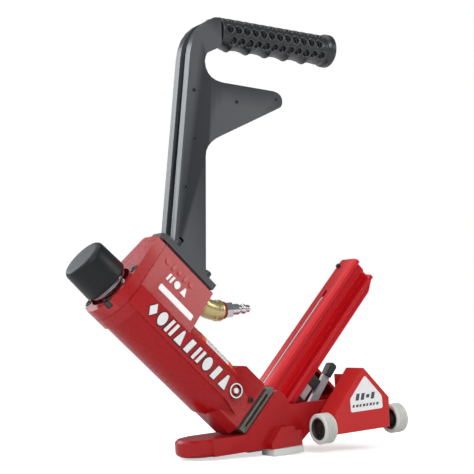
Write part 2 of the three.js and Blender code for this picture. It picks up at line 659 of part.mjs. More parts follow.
// ---- standing attitude ----
const noseTipX = SHOE.noseX - SHOE.noseRadius + SHOE.soleChamfer;
tool.rotation.y = -Math.atan2(PAD.thickness, PAD.rearX - noseTipX);
tool.updateMatrixWorld(true);
const bounds = new THREE.Box3().setFromObject(tool, true);
tool.position.set(-(bounds.min.x + bounds.max.x) / 2, -(bounds.min.y + bounds.max.y) / 2, -bounds.min.z);

const nailer = new THREE.Group();
nailer.add(tool);

export default nailer;
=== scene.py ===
"""Looks of a pneumatic flooring nailer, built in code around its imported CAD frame.

Every visible piece is a mesh made here, in metres and in the frame's own axes, and rides the CAD body it belongs to.
Lengths in the classes are millimetres in one of two working frames that ``Frames`` places from the record's pad mount:

    tool frame:  X from the shoe's nose to the rollers, -Y the panel side, Z up from the sole.
    drive frame: the tool frame turned 45 degrees about Y, with Z along the driver's axis and X up the magazine.
"""
import json
import logging
import math
from dataclasses import dataclass, field
from enum import Enum
from typing import Iterable, Sequence

import bmesh
import bpy
from mathutils import Matrix, Vector
from mathutils.bvhtree import BVHTree


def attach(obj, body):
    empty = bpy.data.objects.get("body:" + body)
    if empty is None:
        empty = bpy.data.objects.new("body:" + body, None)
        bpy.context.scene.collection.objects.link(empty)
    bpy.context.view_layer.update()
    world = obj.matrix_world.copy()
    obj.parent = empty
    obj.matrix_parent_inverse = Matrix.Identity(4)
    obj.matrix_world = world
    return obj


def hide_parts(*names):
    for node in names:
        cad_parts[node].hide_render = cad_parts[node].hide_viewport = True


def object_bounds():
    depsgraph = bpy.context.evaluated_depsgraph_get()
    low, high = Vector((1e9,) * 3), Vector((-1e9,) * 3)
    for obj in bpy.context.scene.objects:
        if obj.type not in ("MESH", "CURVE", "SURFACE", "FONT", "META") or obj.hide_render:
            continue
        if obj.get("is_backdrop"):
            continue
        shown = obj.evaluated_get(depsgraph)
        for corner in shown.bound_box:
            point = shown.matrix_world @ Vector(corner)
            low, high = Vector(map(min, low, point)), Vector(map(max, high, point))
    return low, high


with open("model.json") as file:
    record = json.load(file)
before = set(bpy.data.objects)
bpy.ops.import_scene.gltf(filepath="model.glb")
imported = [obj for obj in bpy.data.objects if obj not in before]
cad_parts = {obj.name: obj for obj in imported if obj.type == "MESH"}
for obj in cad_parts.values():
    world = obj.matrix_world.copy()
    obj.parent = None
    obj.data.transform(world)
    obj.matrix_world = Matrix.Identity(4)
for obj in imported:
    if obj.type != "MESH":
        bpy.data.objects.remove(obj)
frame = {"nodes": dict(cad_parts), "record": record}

LOG = logging.getLogger("nailer")
MM = 0.001
DRIVE_ANGLE = math.radians(45)
PAD_MOUNT = (0.65, -22.5, -7.0)
MERGE_DISTANCE = 2e-6
FLAT_ANGLE = math.radians(0.6)
ROUNDED_ANGLE = math.radians(28)
HALF_ROOT = math.sqrt(0.5)
BLOTCH_SCALE = 18.0
BLOTCH_DETAIL, GRAIN_DETAIL = 3.0, 4.0
GRAIN_SPACING = 3.0
SHEEN_SPREAD = (0.82, 1.2)
BUMP_GAIN = 4.0
EDGE_POINTINESS = (0.52, 0.62)
SUNK = 0.4
WHITE = (1.0, 1.0, 1.0, 1.0)

Point2 = tuple[float, float]
Point3 = tuple[float, float, float]
Rgb = tuple[float, float, float]
Solid = bmesh.types.BMesh
Ring = list[bmesh.types.BMVert]
Socket = bpy.types.NodeSocket
Tree = bpy.types.NodeTree


class Body(str, Enum):
    """The CAD bodies that pieces ride."""

    TOOL = "tool"
    STRIKER = "striker"
    PUSHER = "pusher"
    FOOT = "foot"
    LEVER = "lever"


class Slot(str, Enum):
    """The record's material slots."""

    RED_PAINT = "red_paint"
    ANODISED = "anodised_red"
    SHEET_RED = "sheet_red"
    BLACK_CASTING = "black_casting"
    BLACK_RUBBER = "black_rubber"
    BLACK_STEEL = "black_steel"
    NOSE_STEEL = "nose_steel"
    BRIGHT_STEEL = "bright_steel"
    BRASS = "brass"
    PALE_NYLON = "pale_nylon"
    SEAL_RED = "seal_red"


class Mark(Enum):
    """Plain raised signs that take the place of lettering."""

    BAR = "bar"
    DISC = "disc"
    DIAMOND = "diamond"
    WEDGE = "wedge"
    PAIR = "pair"


# --- Frames ---


class Frames:
    """Places the tool and drive frames in the row frame, from the record's pad mount."""

    def __init__(self, record: dict) -> None:
        """Reads the mount under the near pad.

        Args:
            record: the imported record.
        """
        pad = next(m for m in record["mounts"] if m["name"] == "pad_rest")
        up = -Vector(pad["axis"]).normalized()
        side = Vector((0.0, 1.0, 0.0))
        along = side.cross(up).normalized()
        turn = Matrix((along, side, up)).transposed()
        origin = Vector(pad["pos_m"]) - turn @ Vector(PAD_MOUNT) * MM
        self.tool = Matrix.Translation(origin) @ turn.to_4x4() @ Matrix.Scale(MM, 4)
        self.drive = self.tool @ Matrix.Rotation(-DRIVE_ANGLE, 4, "Y")

    def magazine_turn(self) -> float:
        """Returns the magazine's angle about the row frame's Y, in radians."""
        direction = self.drive.to_3x3() @ Vector((1.0, 0.0, 0.0))
        return math.atan2(direction.z, direction.x)


FRAMES = Frames(frame["record"])


# --- Finishes ---


def feed(tree: Tree, socket: Socket, value: object) -> None:
    """Joins a socket to another, or sets it."""
    if isinstance(value, Socket):
        tree.links.new(value, socket)
    else:
        socket.default_value = value


def add(tree: Tree, kind: str, inputs: dict[str | int, object] | None = None, **settings: object) -> bpy.types.Node:
    """Adds a node to a tree.

    Args:
        tree: the node tree.
        kind: the node's type.
        inputs: values, or sockets that feed it, by the input's name or number.
        settings: the node's properties.

    Returns:
        The node.
    """
    made = tree.nodes.new(kind)
    for key, value in settings.items():
        setattr(made, key, value)
    for key, value in (inputs or {}).items():
        feed(tree, made.inputs[key], value)
    return made


@dataclass(frozen=True)
class Finish:
    """A surface: its colour, sheen, grain and wear, with a painted highlight on its edges and painted shade in its
    pits.

    ``grain_mm`` is the size of the fine texture and ``grain`` its height, ``blotch`` the share by which the colour
    wanders, ``edge`` how much brighter the convex edges are, partly from wear and partly as a painted highlight,
    ``pit_shade_color`` the painted shade in the pits, and ``stretch`` draws the grain out along one direction.
    """

    name: str
    color: Rgb
    roughness: float
    metallic: float = 0.0
    coat: float = 0.0
    coat_roughness: float = 0.08
    specular: float = 0.5
    grain_mm: float = 1.2
    grain: float = 0.05
    blotch: float = 0.08
    edge: float = 0.0
    stretch: float = 1.0
    stretch_turn: float = 0.0
    pit_attribute: str = ""
    # near-black painted shade for the pits
    pit_shade_color: Rgb = (0.001, 0.001, 0.001)

    def build(self) -> bpy.types.Material:
        """Makes the node material, or returns the one already made.

        Returns:
            The material.
        """
        found = bpy.data.materials.get(self.name)
        if found:
            return found
        material = bpy.data.materials.new(self.name)
        material.use_nodes = True
        tree = material.node_tree
        shader = tree.nodes["Principled BSDF"]
        place = self._place(tree)
        broad = self._noise(tree, place, BLOTCH_SCALE, BLOTCH_DETAIL)
        fine = self._noise(tree, place, 1000.0 / self.grain_mm / GRAIN_SPACING, GRAIN_DETAIL)
        color = self._mix(tree, broad, self._shade(1.0 - self.blotch), self._shade(1.0 + self.blotch))
        if self.edge:
            color = self._worn_and_highlit_edges(tree, color)
        if self.pit_attribute:
            color = self._shade_pits(tree, color)
        low, high = (self.roughness * share for share in SHEEN_SPREAD)
        low, high = max(0.02, low), min(1.0, high)
        rough = add(tree, "ShaderNodeMapRange", {"To Min": low, "To Max": high, "Value": fine})
        strength = min(1.0, self.grain * BUMP_GAIN)
        bump = add(tree, "ShaderNodeBump", {"Strength": strength, "Distance": self.grain * MM, "Height": fine})
        values = {
            "Metallic": self.metallic, "Coat Weight": self.coat, "Coat Roughness": self.coat_roughness,
            "Specular IOR Level": self.specular, "Base Color": color, "Roughness": rough.outputs["Result"],
            "Normal": bump.outputs["Normal"],
        }
        for name, value in values.items():
            feed(tree, shader.inputs[name], value)
        return material

    def _shade(self, factor: float) -> tuple[float, float, float, float]:
        """Returns the colour times a factor, with alpha."""
        return tuple(min(1.0, c * factor) for c in self.color) + (1.0,)

    def _place(self, tree: Tree) -> Socket:
        """Returns object coordinates, turned and drawn out along the grain."""
        place = add(tree, "ShaderNodeTexCoord").outputs["Object"]
        if self.stretch == 1.0:
            return place
        turned = add(tree, "ShaderNodeMapping", {"Vector": place, "Rotation": (0.0, self.stretch_turn, 0.0)})
        squeeze = (1.0 / self.stretch, 1.0, 1.0)
        return add(tree, "ShaderNodeMapping", {"Vector": turned.outputs["Vector"], "Scale": squeeze}).outputs["Vector"]

    @staticmethod
    def _noise(tree: Tree, place: Socket, scale: float, detail: float) -> Socket:
        """Returns a noise value at a scale."""
        return add(tree, "ShaderNodeTexNoise", {"Scale": scale, "Detail": detail, "Vector": place}).outputs["Fac"]

    @staticmethod
    def _mix(tree: Tree, factor: Socket, low: Sequence[float] | Socket, high: Sequence[float] | Socket) -> Socket:
        """Returns a colour between two colours or sockets."""
        return add(tree, "ShaderNodeMix", {"Factor": factor, 6: low, 7: high}, data_type="RGBA").outputs[2]

    def _worn_and_highlit_edges(self, tree: Tree, color: Socket) -> Socket:
        """Brightens the colour on convex edges: partly edge wear, partly a painted highlight."""
        pointed = add(tree, "ShaderNodeNewGeometry").outputs["Pointiness"]
        low, high = EDGE_POINTINESS
        span = {"Value": pointed, "From Min": low, "From Max": high, "To Max": self.edge}
        # painted highlight and wear: a lighter copy of the colour for the convex edges
        bright = tuple(min(1.0, c * 1.5 + 0.12) for c in self.color) + (1.0,)
        return self._mix(tree, add(tree, "ShaderNodeMapRange", span).outputs["Result"], color, bright)

    def _shade_pits(self, tree: Tree, color: Socket) -> Socket:
        """Paints shade into the pits: darkens the colour where the mesh's pit attribute is high."""
        pit = add(tree, "ShaderNodeAttribute", attribute_name=self.pit_attribute).outputs["Fac"]
        return self._mix(tree, pit, color, self.pit_shade_color + (1.0,))


MAGAZINE_TURN = FRAMES.magazine_turn()
PAINT = Finish("red_gloss_paint", (0.37, 0.004, 0.006), 0.28, coat=0.14, specular=0.2, grain=0.008,
               blotch=0.07, edge=0.25)
SHOE_PAINT = Finish("red_shoe_paint", (0.39, 0.005, 0.007), 0.3, coat=0.14, coat_roughness=0.12, specular=0.2,
                    grain=0.015, edge=0.3)
# painted shadow round the raised signs
SIGN_SHADOW = Finish("sign_shadow_paint", (0.07, 0.003, 0.004), 0.5, grain=0.03)
ANODISED = Finish("anodised_aluminium", (0.6, 0.009, 0.015), 0.28, metallic=0.45, specular=0.3, coat=0.05,
                  grain_mm=0.8, grain=0.012, blotch=0.05, edge=0.3, stretch=60.0, stretch_turn=MAGAZINE_TURN)
SHEET_PAINT = Finish("red_powder_coat", (0.5, 0.006, 0.006), 0.36, coat=0.1, coat_roughness=0.2, specular=0.25,
                     grain=0.06, grain_mm=0.7, edge=0.3)
HANDLE_COAT = Finish("dark_satin_casting", (0.017, 0.02, 0.024), 0.32, coat=0.25, coat_roughness=0.25, grain_mm=0.8,
                     grain=0.03, blotch=0.14, edge=0.5)
RUBBER = Finish("black_rubber_moulding", (0.011, 0.012, 0.014), 0.5, coat=0.1, coat_roughness=0.4, grain_mm=0.6,
                grain=0.06, edge=0.25)
CAP_RUBBER = Finish("black_cap_rubber", (0.006, 0.007, 0.009), 0.46, specular=0.3, coat=0.06, coat_roughness=0.35,
                    grain_mm=0.5, grain=0.05, blotch=0.15, edge=0.1)
# grip finish: painted shade in the dimple pits, and through edge a painted highlight on the dimple rims
GRIP_RUBBER = Finish("grip_rubber", (0.02, 0.021, 0.023), 0.32, specular=0.45, coat=0.18,
                     coat_roughness=0.25, grain_mm=0.5, grain=0.03, edge=0.6, pit_attribute="pit")
BLACK_STEEL = Finish("blackened_steel", (0.022, 0.022, 0.025), 0.36, metallic=0.6, grain_mm=0.6, grain=0.04, edge=0.5)
NOSE_STEEL = Finish("phosphated_steel", (0.12, 0.125, 0.1), 0.42, metallic=0.6, grain_mm=0.9, grain=0.05, edge=0.9)
BRIGHT_STEEL = Finish("bright_nickel", (0.7, 0.71, 0.73), 0.18, metallic=1.0, grain_mm=1.5, grain=0.01, blotch=0.04)
DULL_STEEL = Finish("drawn_steel", (0.5, 0.51, 0.53), 0.3, metallic=1.0, grain_mm=1.0, grain=0.03, blotch=0.08)
BRASS = Finish("turned_brass", (0.6, 0.5, 0.24), 0.34, metallic=0.85, coat=0.1, grain_mm=1.4, grain=0.03, blotch=0.1)
# painted shade for the floors of the tyre grooves
GROOVE_SHADE_NYLON = Finish("groove_nylon", (0.06, 0.065, 0.06), 0.6, grain_mm=0.7, grain=0.04)
NYLON = Finish("pale_nylon", (0.42, 0.45, 0.42), 0.55, grain_mm=0.7, grain=0.06, blotch=0.06)
SEAL = Finish("red_thread_seal", (0.24, 0.015, 0.01), 0.5, grain_mm=0.4, grain=0.1, blotch=0.15)
PALE_STEEL = Finish("blasted_steel", (0.5, 0.5, 0.52), 0.4, metallic=0.25, grain_mm=0.8, grain=0.02, edge=0.4)
WHITE_PRINT = Finish("white_enamel", (0.82, 0.82, 0.81), 0.4, coat=0.3, grain=0.02, blotch=0.03)
LABEL = Finish("white_label_film", (0.86, 0.86, 0.86), 0.36, coat=0.3, coat_roughness=0.2, grain=0.01, blotch=0.02)
LABEL_GREY = Finish("grey_label_ink", (0.06, 0.065, 0.075), 0.5, grain=0.01, blotch=0.05)
LABEL_ORANGE = Finish("orange_label_ink", (0.86, 0.14, 0.02), 0.4, coat=0.3, grain=0.01, blotch=0.04)
FLOOR = Finish("pale_floor", (0.8, 0.8, 0.81), 0.8, specular=0.1, grain_mm=6.0, grain=0.01, blotch=0.004)


# --- Mesh making ---


def hang(name: str, data: bpy.types.ID) -> bpy.types.Object:
    """Makes an object of some data and puts it in the scene."""
    made = bpy.data.objects.new(name, data)
    bpy.context.scene.collection.objects.link(made)
    return made


def mesh_of(name: str, solid: Solid) -> bpy.types.Mesh:
    """Turns a solid, which is used up, into a mesh."""
    mesh = bpy.data.meshes.new(name)
    solid.to_mesh(mesh)
    solid.free()
    return mesh


class Shape:
    """Closed solids as bmeshes, in millimetres about a local Z axis."""

    @staticmethod
    def bridge(bm: Solid, rings: Sequence[Ring], sides: int) -> None:
        """Joins each ring, or lone point, to the next with faces."""
        for low, high in zip(rings, rings[1:]):
            for k in range(sides):
                after = (k + 1) % sides
                corners = [low[k % len(low)], low[after % len(low)], high[after % len(high)], high[k % len(high)]]
                unique = list(dict.fromkeys(corners))
                if len(unique) > 2:
                    bm.faces.new(unique)

    @staticmethod
    def outward(bm: Solid) -> Solid:
        """Turns every face of a solid outward."""
        bmesh.ops.recalc_face_normals(bm, faces=bm.faces)
        return bm

    @staticmethod
    def mirrored(half: Sequence[Point2], width: float) -> list[Point2]:
        """Returns half a profile with its mirror image after it, the whole being ``width`` high."""
        return list(half) + [(radius, width - height) for radius, height in reversed(half)]

    @staticmethod
    def lathe(profile: Sequence[Point2], sides: int = 64) -> Solid:
        """Turns a profile about Z.

        Args:
            profile: [radius, height] pairs; a zero radius closes on the axis, else the profile closes on itself.
            sides: the number of sides.

        Returns:
            The solid.
        """
        bm = bmesh.new()
        rings: list[Ring] = []
        for radius, height in profile:
            if radius <= 1e-6:
                rings.append([bm.verts.new((0.0, 0.0, height))])
                continue
            turn = [2.0 * math.pi * k / sides for k in range(sides)]
            rings.append([bm.verts.new((radius * math.cos(a), radius * math.sin(a), height)) for a in turn])
        closed = len(rings[0]) > 1 and len(rings[-1]) > 1
        Shape.bridge(bm, rings + rings[:1] if closed else rings, sides)
        return Shape.outward(bm)

    @staticmethod
    def prism(outline: Sequence[Point2], low: float, high: float) -> Solid:
        """Draws an outline in XY out along Z between two heights."""
        bm = bmesh.new()
        bottom = [bm.verts.new((x, y, low)) for x, y in outline]
        top = [bm.verts.new((x, y, high)) for x, y in outline]
        bm.faces.new(list(reversed(bottom)))
        bm.faces.new(top)
        count = len(outline)
        for k in range(count):
            after = (k + 1) % count
            bm.faces.new((bottom[k], bottom[after], top[after], top[k]))
        return Shape.outward(bm)

    @staticmethod
    def sweep(path: Sequence[Vector], radii: Sequence[float], sides: int = 32) -> Solid:
        """Sweeps round sections along a path in the XZ plane, closed at both ends."""
        bm = bmesh.new()
        side = Vector((0.0, 1.0, 0.0))
        rings = []
        for k, (point, radius) in enumerate(zip(path, radii)):
            before, after = path[max(0, k - 1)], path[min(len(path) - 1, k + 1)]
            across = (after - before).normalized().cross(side)
            turn = [2.0 * math.pi * j / sides for j in range(sides)]
            rings.append([bm.verts.new(point + (side * math.cos(a) + across * math.sin(a)) * radius) for a in turn])
        Shape.bridge(bm, rings, sides)
        bm.faces.new(list(reversed(rings[0])))
        bm.faces.new(rings[-1])
        return Shape.outward(bm)

    @staticmethod
    def joined(*solids: Solid) -> Solid:
        """Puts several solids, which are used up, into one."""
        whole = bmesh.new()
        for solid in solids:
            mesh = mesh_of("part", solid)
            whole.from_mesh(mesh)
            bpy.data.meshes.remove(mesh)
        return whole

    @staticmethod
    def moved(solid: Solid, matrix: Matrix) -> Solid:
        """Moves a solid by a matrix."""
        bmesh.ops.transform(solid, matrix=matrix, verts=solid.verts)
        return solid

    @staticmethod
    def arc(centre: Point2, radius: float, start: float, end: float, steps: int) -> list[Point2]:
        """Returns points on an arc, from one angle to another in degrees."""
        turn = [math.radians(start + (end - start) * k / steps) for k in range(steps + 1)]
        return [(centre[0] + radius * math.cos(a), centre[1] + radius * math.sin(a)) for a in turn]


def along(direction: Point3, origin: Point3 = (0.0, 0.0, 0.0), up: Point3 = (0.0, 1.0, 0.0)) -> Matrix:
    """Returns the matrix that lays local Z along a direction at a place, with local Y near ``up``."""
    z = Vector(direction).normalized()
    x = Vector(up).cross(z)
    x = x.normalized() if x.length > 1e-6 else Vector((1.0, 0.0, 0.0))
    y = z.cross(x)
    return Matrix.Translation(Vector(origin)) @ Matrix((x, y, z)).transposed().to_4x4()


@dataclass
class Piece:
    """One visible piece: what it is called, what it rides, and how its edges and surface are finished."""

    name: str
    finish: Finish
    slot: Slot
    body: str = Body.TOOL.value
    bevel: float = 0.0
    segments: int = 2
    smooth: float = 44.0
    stands_for: tuple[str, ...] = ()

    def make(self, solid: Solid, place: Matrix) -> bpy.types.Object:
        """Makes the object from a solid in millimetres.

        Args:
            solid: the solid, which is used up.
            place: the matrix from the solid's frame to the row frame.

        Returns:
            The finished object, at the origin.
        """
        bmesh.ops.transform(solid, matrix=place, verts=solid.verts)
        return self.adopt(mesh_of(self.name, solid))

    def from_node(self, *nodes: str) -> bpy.types.Object:
        """Makes the object from the shape of CAD nodes, with its flat faces joined and its edges rounded.

        Args:
            nodes: the CAD nodes, which it then stands for.

        Returns:
            The finished object.
        """
        solid = bmesh.new()
        for node in nodes:
            solid.from_mesh(frame["nodes"][node].data)
        bmesh.ops.remove_doubles(solid, verts=solid.verts, dist=MERGE_DISTANCE)
        bmesh.ops.dissolve_limit(solid, angle_limit=FLAT_ANGLE, verts=solid.verts, edges=solid.edges)
        self.stands_for = nodes
        return self.adopt(mesh_of(self.name, solid))

    def adopt(self, mesh: bpy.types.Mesh) -> bpy.types.Object:
        """Rounds the edges of a mesh, dresses it and hangs it on its body."""
        thing = hang(self.name, mesh)
        mesh.materials.clear()
        mesh.materials.append(self.finish.build())
        for polygon in mesh.polygons:
            polygon.use_smooth = True
            polygon.material_index = 0
        if self.bevel:
            rounding = thing.modifiers.new("rounding", "BEVEL")
            rounding.width = self.bevel * MM
            rounding.segments = self.segments
            rounding.limit_method = "ANGLE"
            rounding.angle_limit = ROUNDED_ANGLE
            rounding.use_clamp_overlap = True
            even = thing.modifiers.new("even", "WEIGHTED_NORMAL")
            even.keep_sharp = True
        settle(thing)
        thing.data.set_sharp_from_angle(angle=math.radians(self.smooth))
        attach(thing, self.body)
        if self.stands_for:
            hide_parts(*self.stands_for)
        return thing


def settle(thing: bpy.types.Object) -> None:
    """Turns an object's modifiers into plain mesh."""
    if not thing.modifiers:
        return
    graph = bpy.context.evaluated_depsgraph_get()
    final = bpy.data.meshes.new_from_object(thing.evaluated_get(graph), depsgraph=graph)
    old = thing.data
    thing.modifiers.clear()
    thing.data = final
    final.name = thing.name
    bpy.data.meshes.remove(old)


class Skin:
    """The outer surface of a CAD node, to lay signs and small parts on."""

    OUTSIDE = -200.0

    def __init__(self, node: str, place: Matrix) -> None:
        """Reads a node's surface into a working frame.

        Args:
            node: the CAD node.
            place: the matrix from the working frame to the row frame.
        """
        mesh = frame["nodes"][node].data
        back = place.inverted()
        points = [back @ v.co for v in mesh.vertices]
        self.tree = BVHTree.FromPolygons(points, [tuple(p.vertices) for p in mesh.polygons])

    def near(self, x: float, z: float) -> Vector:
        """Returns the surface point seen from the -Y side at a place."""
        point, _, _, _ = self.tree.ray_cast(Vector((x, self.OUTSIDE, z)), Vector((0.0, 1.0, 0.0)))
        return point

    def slope(self, x: float, z: float, reach: float = 3.0) -> Vector:
        """Returns the direction of growing X along the surface at a place."""
        return (self.near(x + reach, z) - self.near(x - reach, z)).normalized()


def copies(
    piece: Piece, solid: Solid, places: Sequence[tuple[Vector, Vector]], recipe: "Recipe"
) -> bpy.types.Object:
    """Sets copies of a small solid at places, by recipe, as one piece.

    Args:
        piece: the piece to make.
        solid: the solid in metres, standing on Z = 0, which is used up.
        places: the row-frame points and the directions that the solid's Z takes there.
        recipe: the recipe that sets the copies.

    Returns:
        The finished object.
    """
    points = bpy.data.meshes.new(piece.name + "_places")
    points.from_pydata([p for p, _ in places], [], [])
    turns = points.attributes.new("turn", "FLOAT_VECTOR", "POINT")
    values = [angle for _, direction in places for angle in direction.to_track_quat("Z", "Y").to_euler()]
    turns.data.foreach_set("vector", values)
    holder = hang(piece.name + "_places", points)
    mesh = recipe.cook(solid, {"Places": holder})
    bpy.data.objects.remove(holder)
    bpy.data.meshes.remove(points)
    return piece.adopt(mesh)


def dress(finish: Finish, *nodes: str) -> None:
    """Gives CAD nodes that stay in view a finish."""
    for node in nodes:
        mesh = frame["nodes"][node].data
        mesh.materials.clear()
        mesh.materials.append(finish.build())


# --- Geometry Nodes ---


class Recipe:
    """A Geometry Nodes group with named inputs, written in short steps."""

    def __init__(self, name: str) -> None:
        """Starts a group with a geometry input and output."""
        self.tree = bpy.data.node_groups.new(name, "GeometryNodeTree")
        self.sockets: dict[str, str] = {}
        self.tree.interface.new_socket("Geometry", in_out="INPUT", socket_type="NodeSocketGeometry")
        self.tree.interface.new_socket("Geometry", in_out="OUTPUT", socket_type="NodeSocketGeometry")
        self.start = self.tree.nodes.new("NodeGroupInput")
        self.end = self.tree.nodes.new("NodeGroupOutput")

    def number(self, name: str, value: float) -> Socket:
        """Adds a named number input and returns its socket."""
        made = self.tree.interface.new_socket(name, in_out="INPUT", socket_type="NodeSocketFloat")
        made.default_value = value
        self.sockets[name] = made.identifier
        return self.start.outputs[name]

    def thing(self, name: str) -> Socket:
        """Adds a named object input and returns its socket."""
        made = self.tree.interface.new_socket(name, in_out="INPUT", socket_type="NodeSocketObject")
        self.sockets[name] = made.identifier
        return self.start.outputs[name]

    def node(self, kind: str, inputs: dict[str | int, object] | None = None, **settings: object) -> bpy.types.Node:
        """Adds a node with its inputs and properties."""
        return add(self.tree, kind, inputs, **settings)

    def math(self, operation: str, *values: object) -> Socket:
        """Adds a math node and returns its result."""
        return self.node("ShaderNodeMath", dict(enumerate(values)), operation=operation).outputs[0]

    def less(self, value: object, other: object) -> Socket:
        """Returns a value less another."""
        return self.math("SUBTRACT", value, other)

    def times(self, value: object, other: object) -> Socket:
        """Returns a value times another."""
        return self.math("MULTIPLY", value, other)

    def ramp(self, value: object, low: object, high: object, at_low: object, at_high: object) -> Socket:
        """Adds a smooth step from one value to another and returns its result."""
        names = ("Value", "From Min", "From Max", "To Min", "To Max")
        inputs = dict(zip(names, (value, low, high, at_low, at_high)))
        return self.node("ShaderNodeMapRange", inputs, interpolation_type="SMOOTHSTEP").outputs["Result"]

    def attribute(self, name: str, data_type: str = "FLOAT") -> Socket:
        """Returns a named attribute of the input mesh."""
        return self.node("GeometryNodeInputNamedAttribute", {"Name": name}, data_type=data_type).outputs["Attribute"]

    def close(self, geometry: Socket, finish: Finish) -> None:
        """Ends the group: instances are made real and the material is set."""
        real = self.node("GeometryNodeRealizeInstances", {"Geometry": geometry}).outputs["Geometry"]
        paint = self.node("GeometryNodeSetMaterial", {"Geometry": real, "Material": finish.build()})
        feed(self.tree, self.end.inputs["Geometry"], paint.outputs["Geometry"])

    def cook(self, solid: Solid, values: dict[str, object]) -> bpy.types.Mesh:
        """Runs the group on a solid.

        Args:
            solid: the input geometry, which is used up.
            values: input values by name.

        Returns:
            The resulting mesh.
        """
        mesh = mesh_of("input", solid)
        holder = hang("holder", mesh)
        modifier = holder.modifiers.new("recipe", "NODES")
        modifier.node_group = self.tree
        for name, value in values.items():
            modifier[self.sockets[name]] = value
        graph = bpy.context.evaluated_depsgraph_get()
        result = bpy.data.meshes.new_from_object(holder.evaluated_get(graph), depsgraph=graph)
        bpy.data.objects.remove(holder)
        bpy.data.meshes.remove(mesh)
        return result


class DimpleRecipe(Recipe):
    """Presses staggered rows of round dimples, each with a raised rim, into a tube's skin."""

    def __init__(self, finish: Finish) -> None:
        """Builds the group. The input mesh carries ``along`` and ``angle``, in metres and radians."""
        super().__init__("dimpled_skin")
        radius = self.number("Tube Radius", 0.0156)
        pitch = self.number("Pitch", 0.0102)
        rows = self.number("Rows", 8.0)
        phase = self.number("Phase", 0.105)
        size = self.number("Dimple Radius", 0.0042)
        depth = self.number("Depth", 0.0034)
        rim = self.number("Rim Height", 0.00035)
        first = self.number("First", 0.008)
        last = self.number("Last", 0.133)
        less, times = self.less, self.times
        place, angle = self.attribute("along"), less(self.attribute("angle"), phase)
        step = self.math("DIVIDE", 2.0 * math.pi, rows)
        row = self.math("ROUND", self.math("DIVIDE", angle, step))
        across = times(less(angle, times(row, step)), radius)
        shift = times(self.math("PINGPONG", row, 1.0), times(pitch, 0.5))
        start = less(less(place, first), shift)
        column = self.math("ROUND", self.math("DIVIDE", start, pitch))
        beside = less(start, times(column, pitch))
        far = self.math("SQRT", self.math("ADD", times(across, across), times(beside, beside)))
        inside = self.ramp(far, times(size, 0.74), size, 1.0, 0.0)
        past = self.math("ABSOLUTE", less(far, times(size, 1.16)))
        ring = self.ramp(past, 0.0, times(size, 0.2), 1.0, 0.0)
        centre = self.math("ADD", times(column, pitch), self.math("ADD", first, shift))
        after_first = self.math("GREATER_THAN", centre, less(first, 0.001))
        allowed = times(after_first, self.math("LESS_THAN", centre, last))
        allowed = times(allowed, self.math("LESS_THAN", self.math("ABSOLUTE", row), 3.5))
        pit = times(inside, allowed)
        height = less(times(times(ring, rim), allowed), times(pit, depth))
        normal = self.node("GeometryNodeInputNormal").outputs["Normal"]
        push = self.node("ShaderNodeVectorMath", {0: normal, "Scale": height}, operation="SCALE")
        # the pit mask, which the grip's finish darkens as painted shade inside the dimples
        kept = {"Name": "pit", "Geometry": self.start.outputs["Geometry"], "Value": pit}
        store = self.node("GeometryNodeStoreNamedAttribute", kept, data_type="FLOAT", domain="POINT")
        moved = {"Geometry": store.outputs["Geometry"], "Offset": push.outputs["Vector"]}
        self.close(self.node("GeometryNodeSetPosition", moved).outputs["Geometry"], finish)


class PlacesRecipe(Recipe):
    """Sets a copy of the input mesh at every point of another object, turned by its ``turn`` attribute."""

    def __init__(self, finish: Finish) -> None:
        """Builds the group."""
        super().__init__("copies_at_places")
        info = self.node("GeometryNodeObjectInfo", {"Object": self.thing("Places")})
        turn = self.node("FunctionNodeEulerToRotation", {"Euler": self.attribute("turn", "FLOAT_VECTOR")})
        copied = self.node("GeometryNodeInstanceOnPoints", {
            "Points": info.outputs["Geometry"], "Instance": self.start.outputs["Geometry"],
            "Rotation": turn.outputs["Rotation"]})
        self.close(copied.outputs["Instances"], finish)


class RibRecipe(Recipe):
    """Repeats the input ring along Z at a fixed pitch."""

    def __init__(self, finish: Finish) -> None:
        """Builds the group."""
        super().__init__("repeated_ribs")
        whole = self.node("FunctionNodeFloatToInt", {0: self.number("Count", 7.0)}, rounding_mode="ROUND")
        offset = self.node("ShaderNodeCombineXYZ", {"Z": self.number("Pitch", 1.6)})
        steps = {"Count": whole.outputs[0], "Offset": offset.outputs["Vector"]}
        line = self.node("GeometryNodeMeshLine", steps, mode="OFFSET", count_mode="TOTAL")
        copied = self.node("GeometryNodeInstanceOnPoints", {
            "Points": line.outputs["Mesh"], "Instance": self.start.outputs["Geometry"]})
        self.close(copied.outputs["Instances"], finish)


# --- Sub-assemblies ---


def slanted(low: float, high: float, bottom: float, top: float, lean: float) -> list[Point2]:
    """Returns the outline of a bar between two places, its foot moved back and its top on by ``lean``."""
    return [(low - lean, bottom), (high - lean, bottom), (high + lean, top), (low + lean, top)]


def bend(start: Vector, corner: Vector, end: Vector, share: float) -> Vector:
    """Returns the point at a share of the curve that rounds a corner."""
    return start * (1 - share) ** 2 + corner * 2 * share * (1 - share) + end * share * share


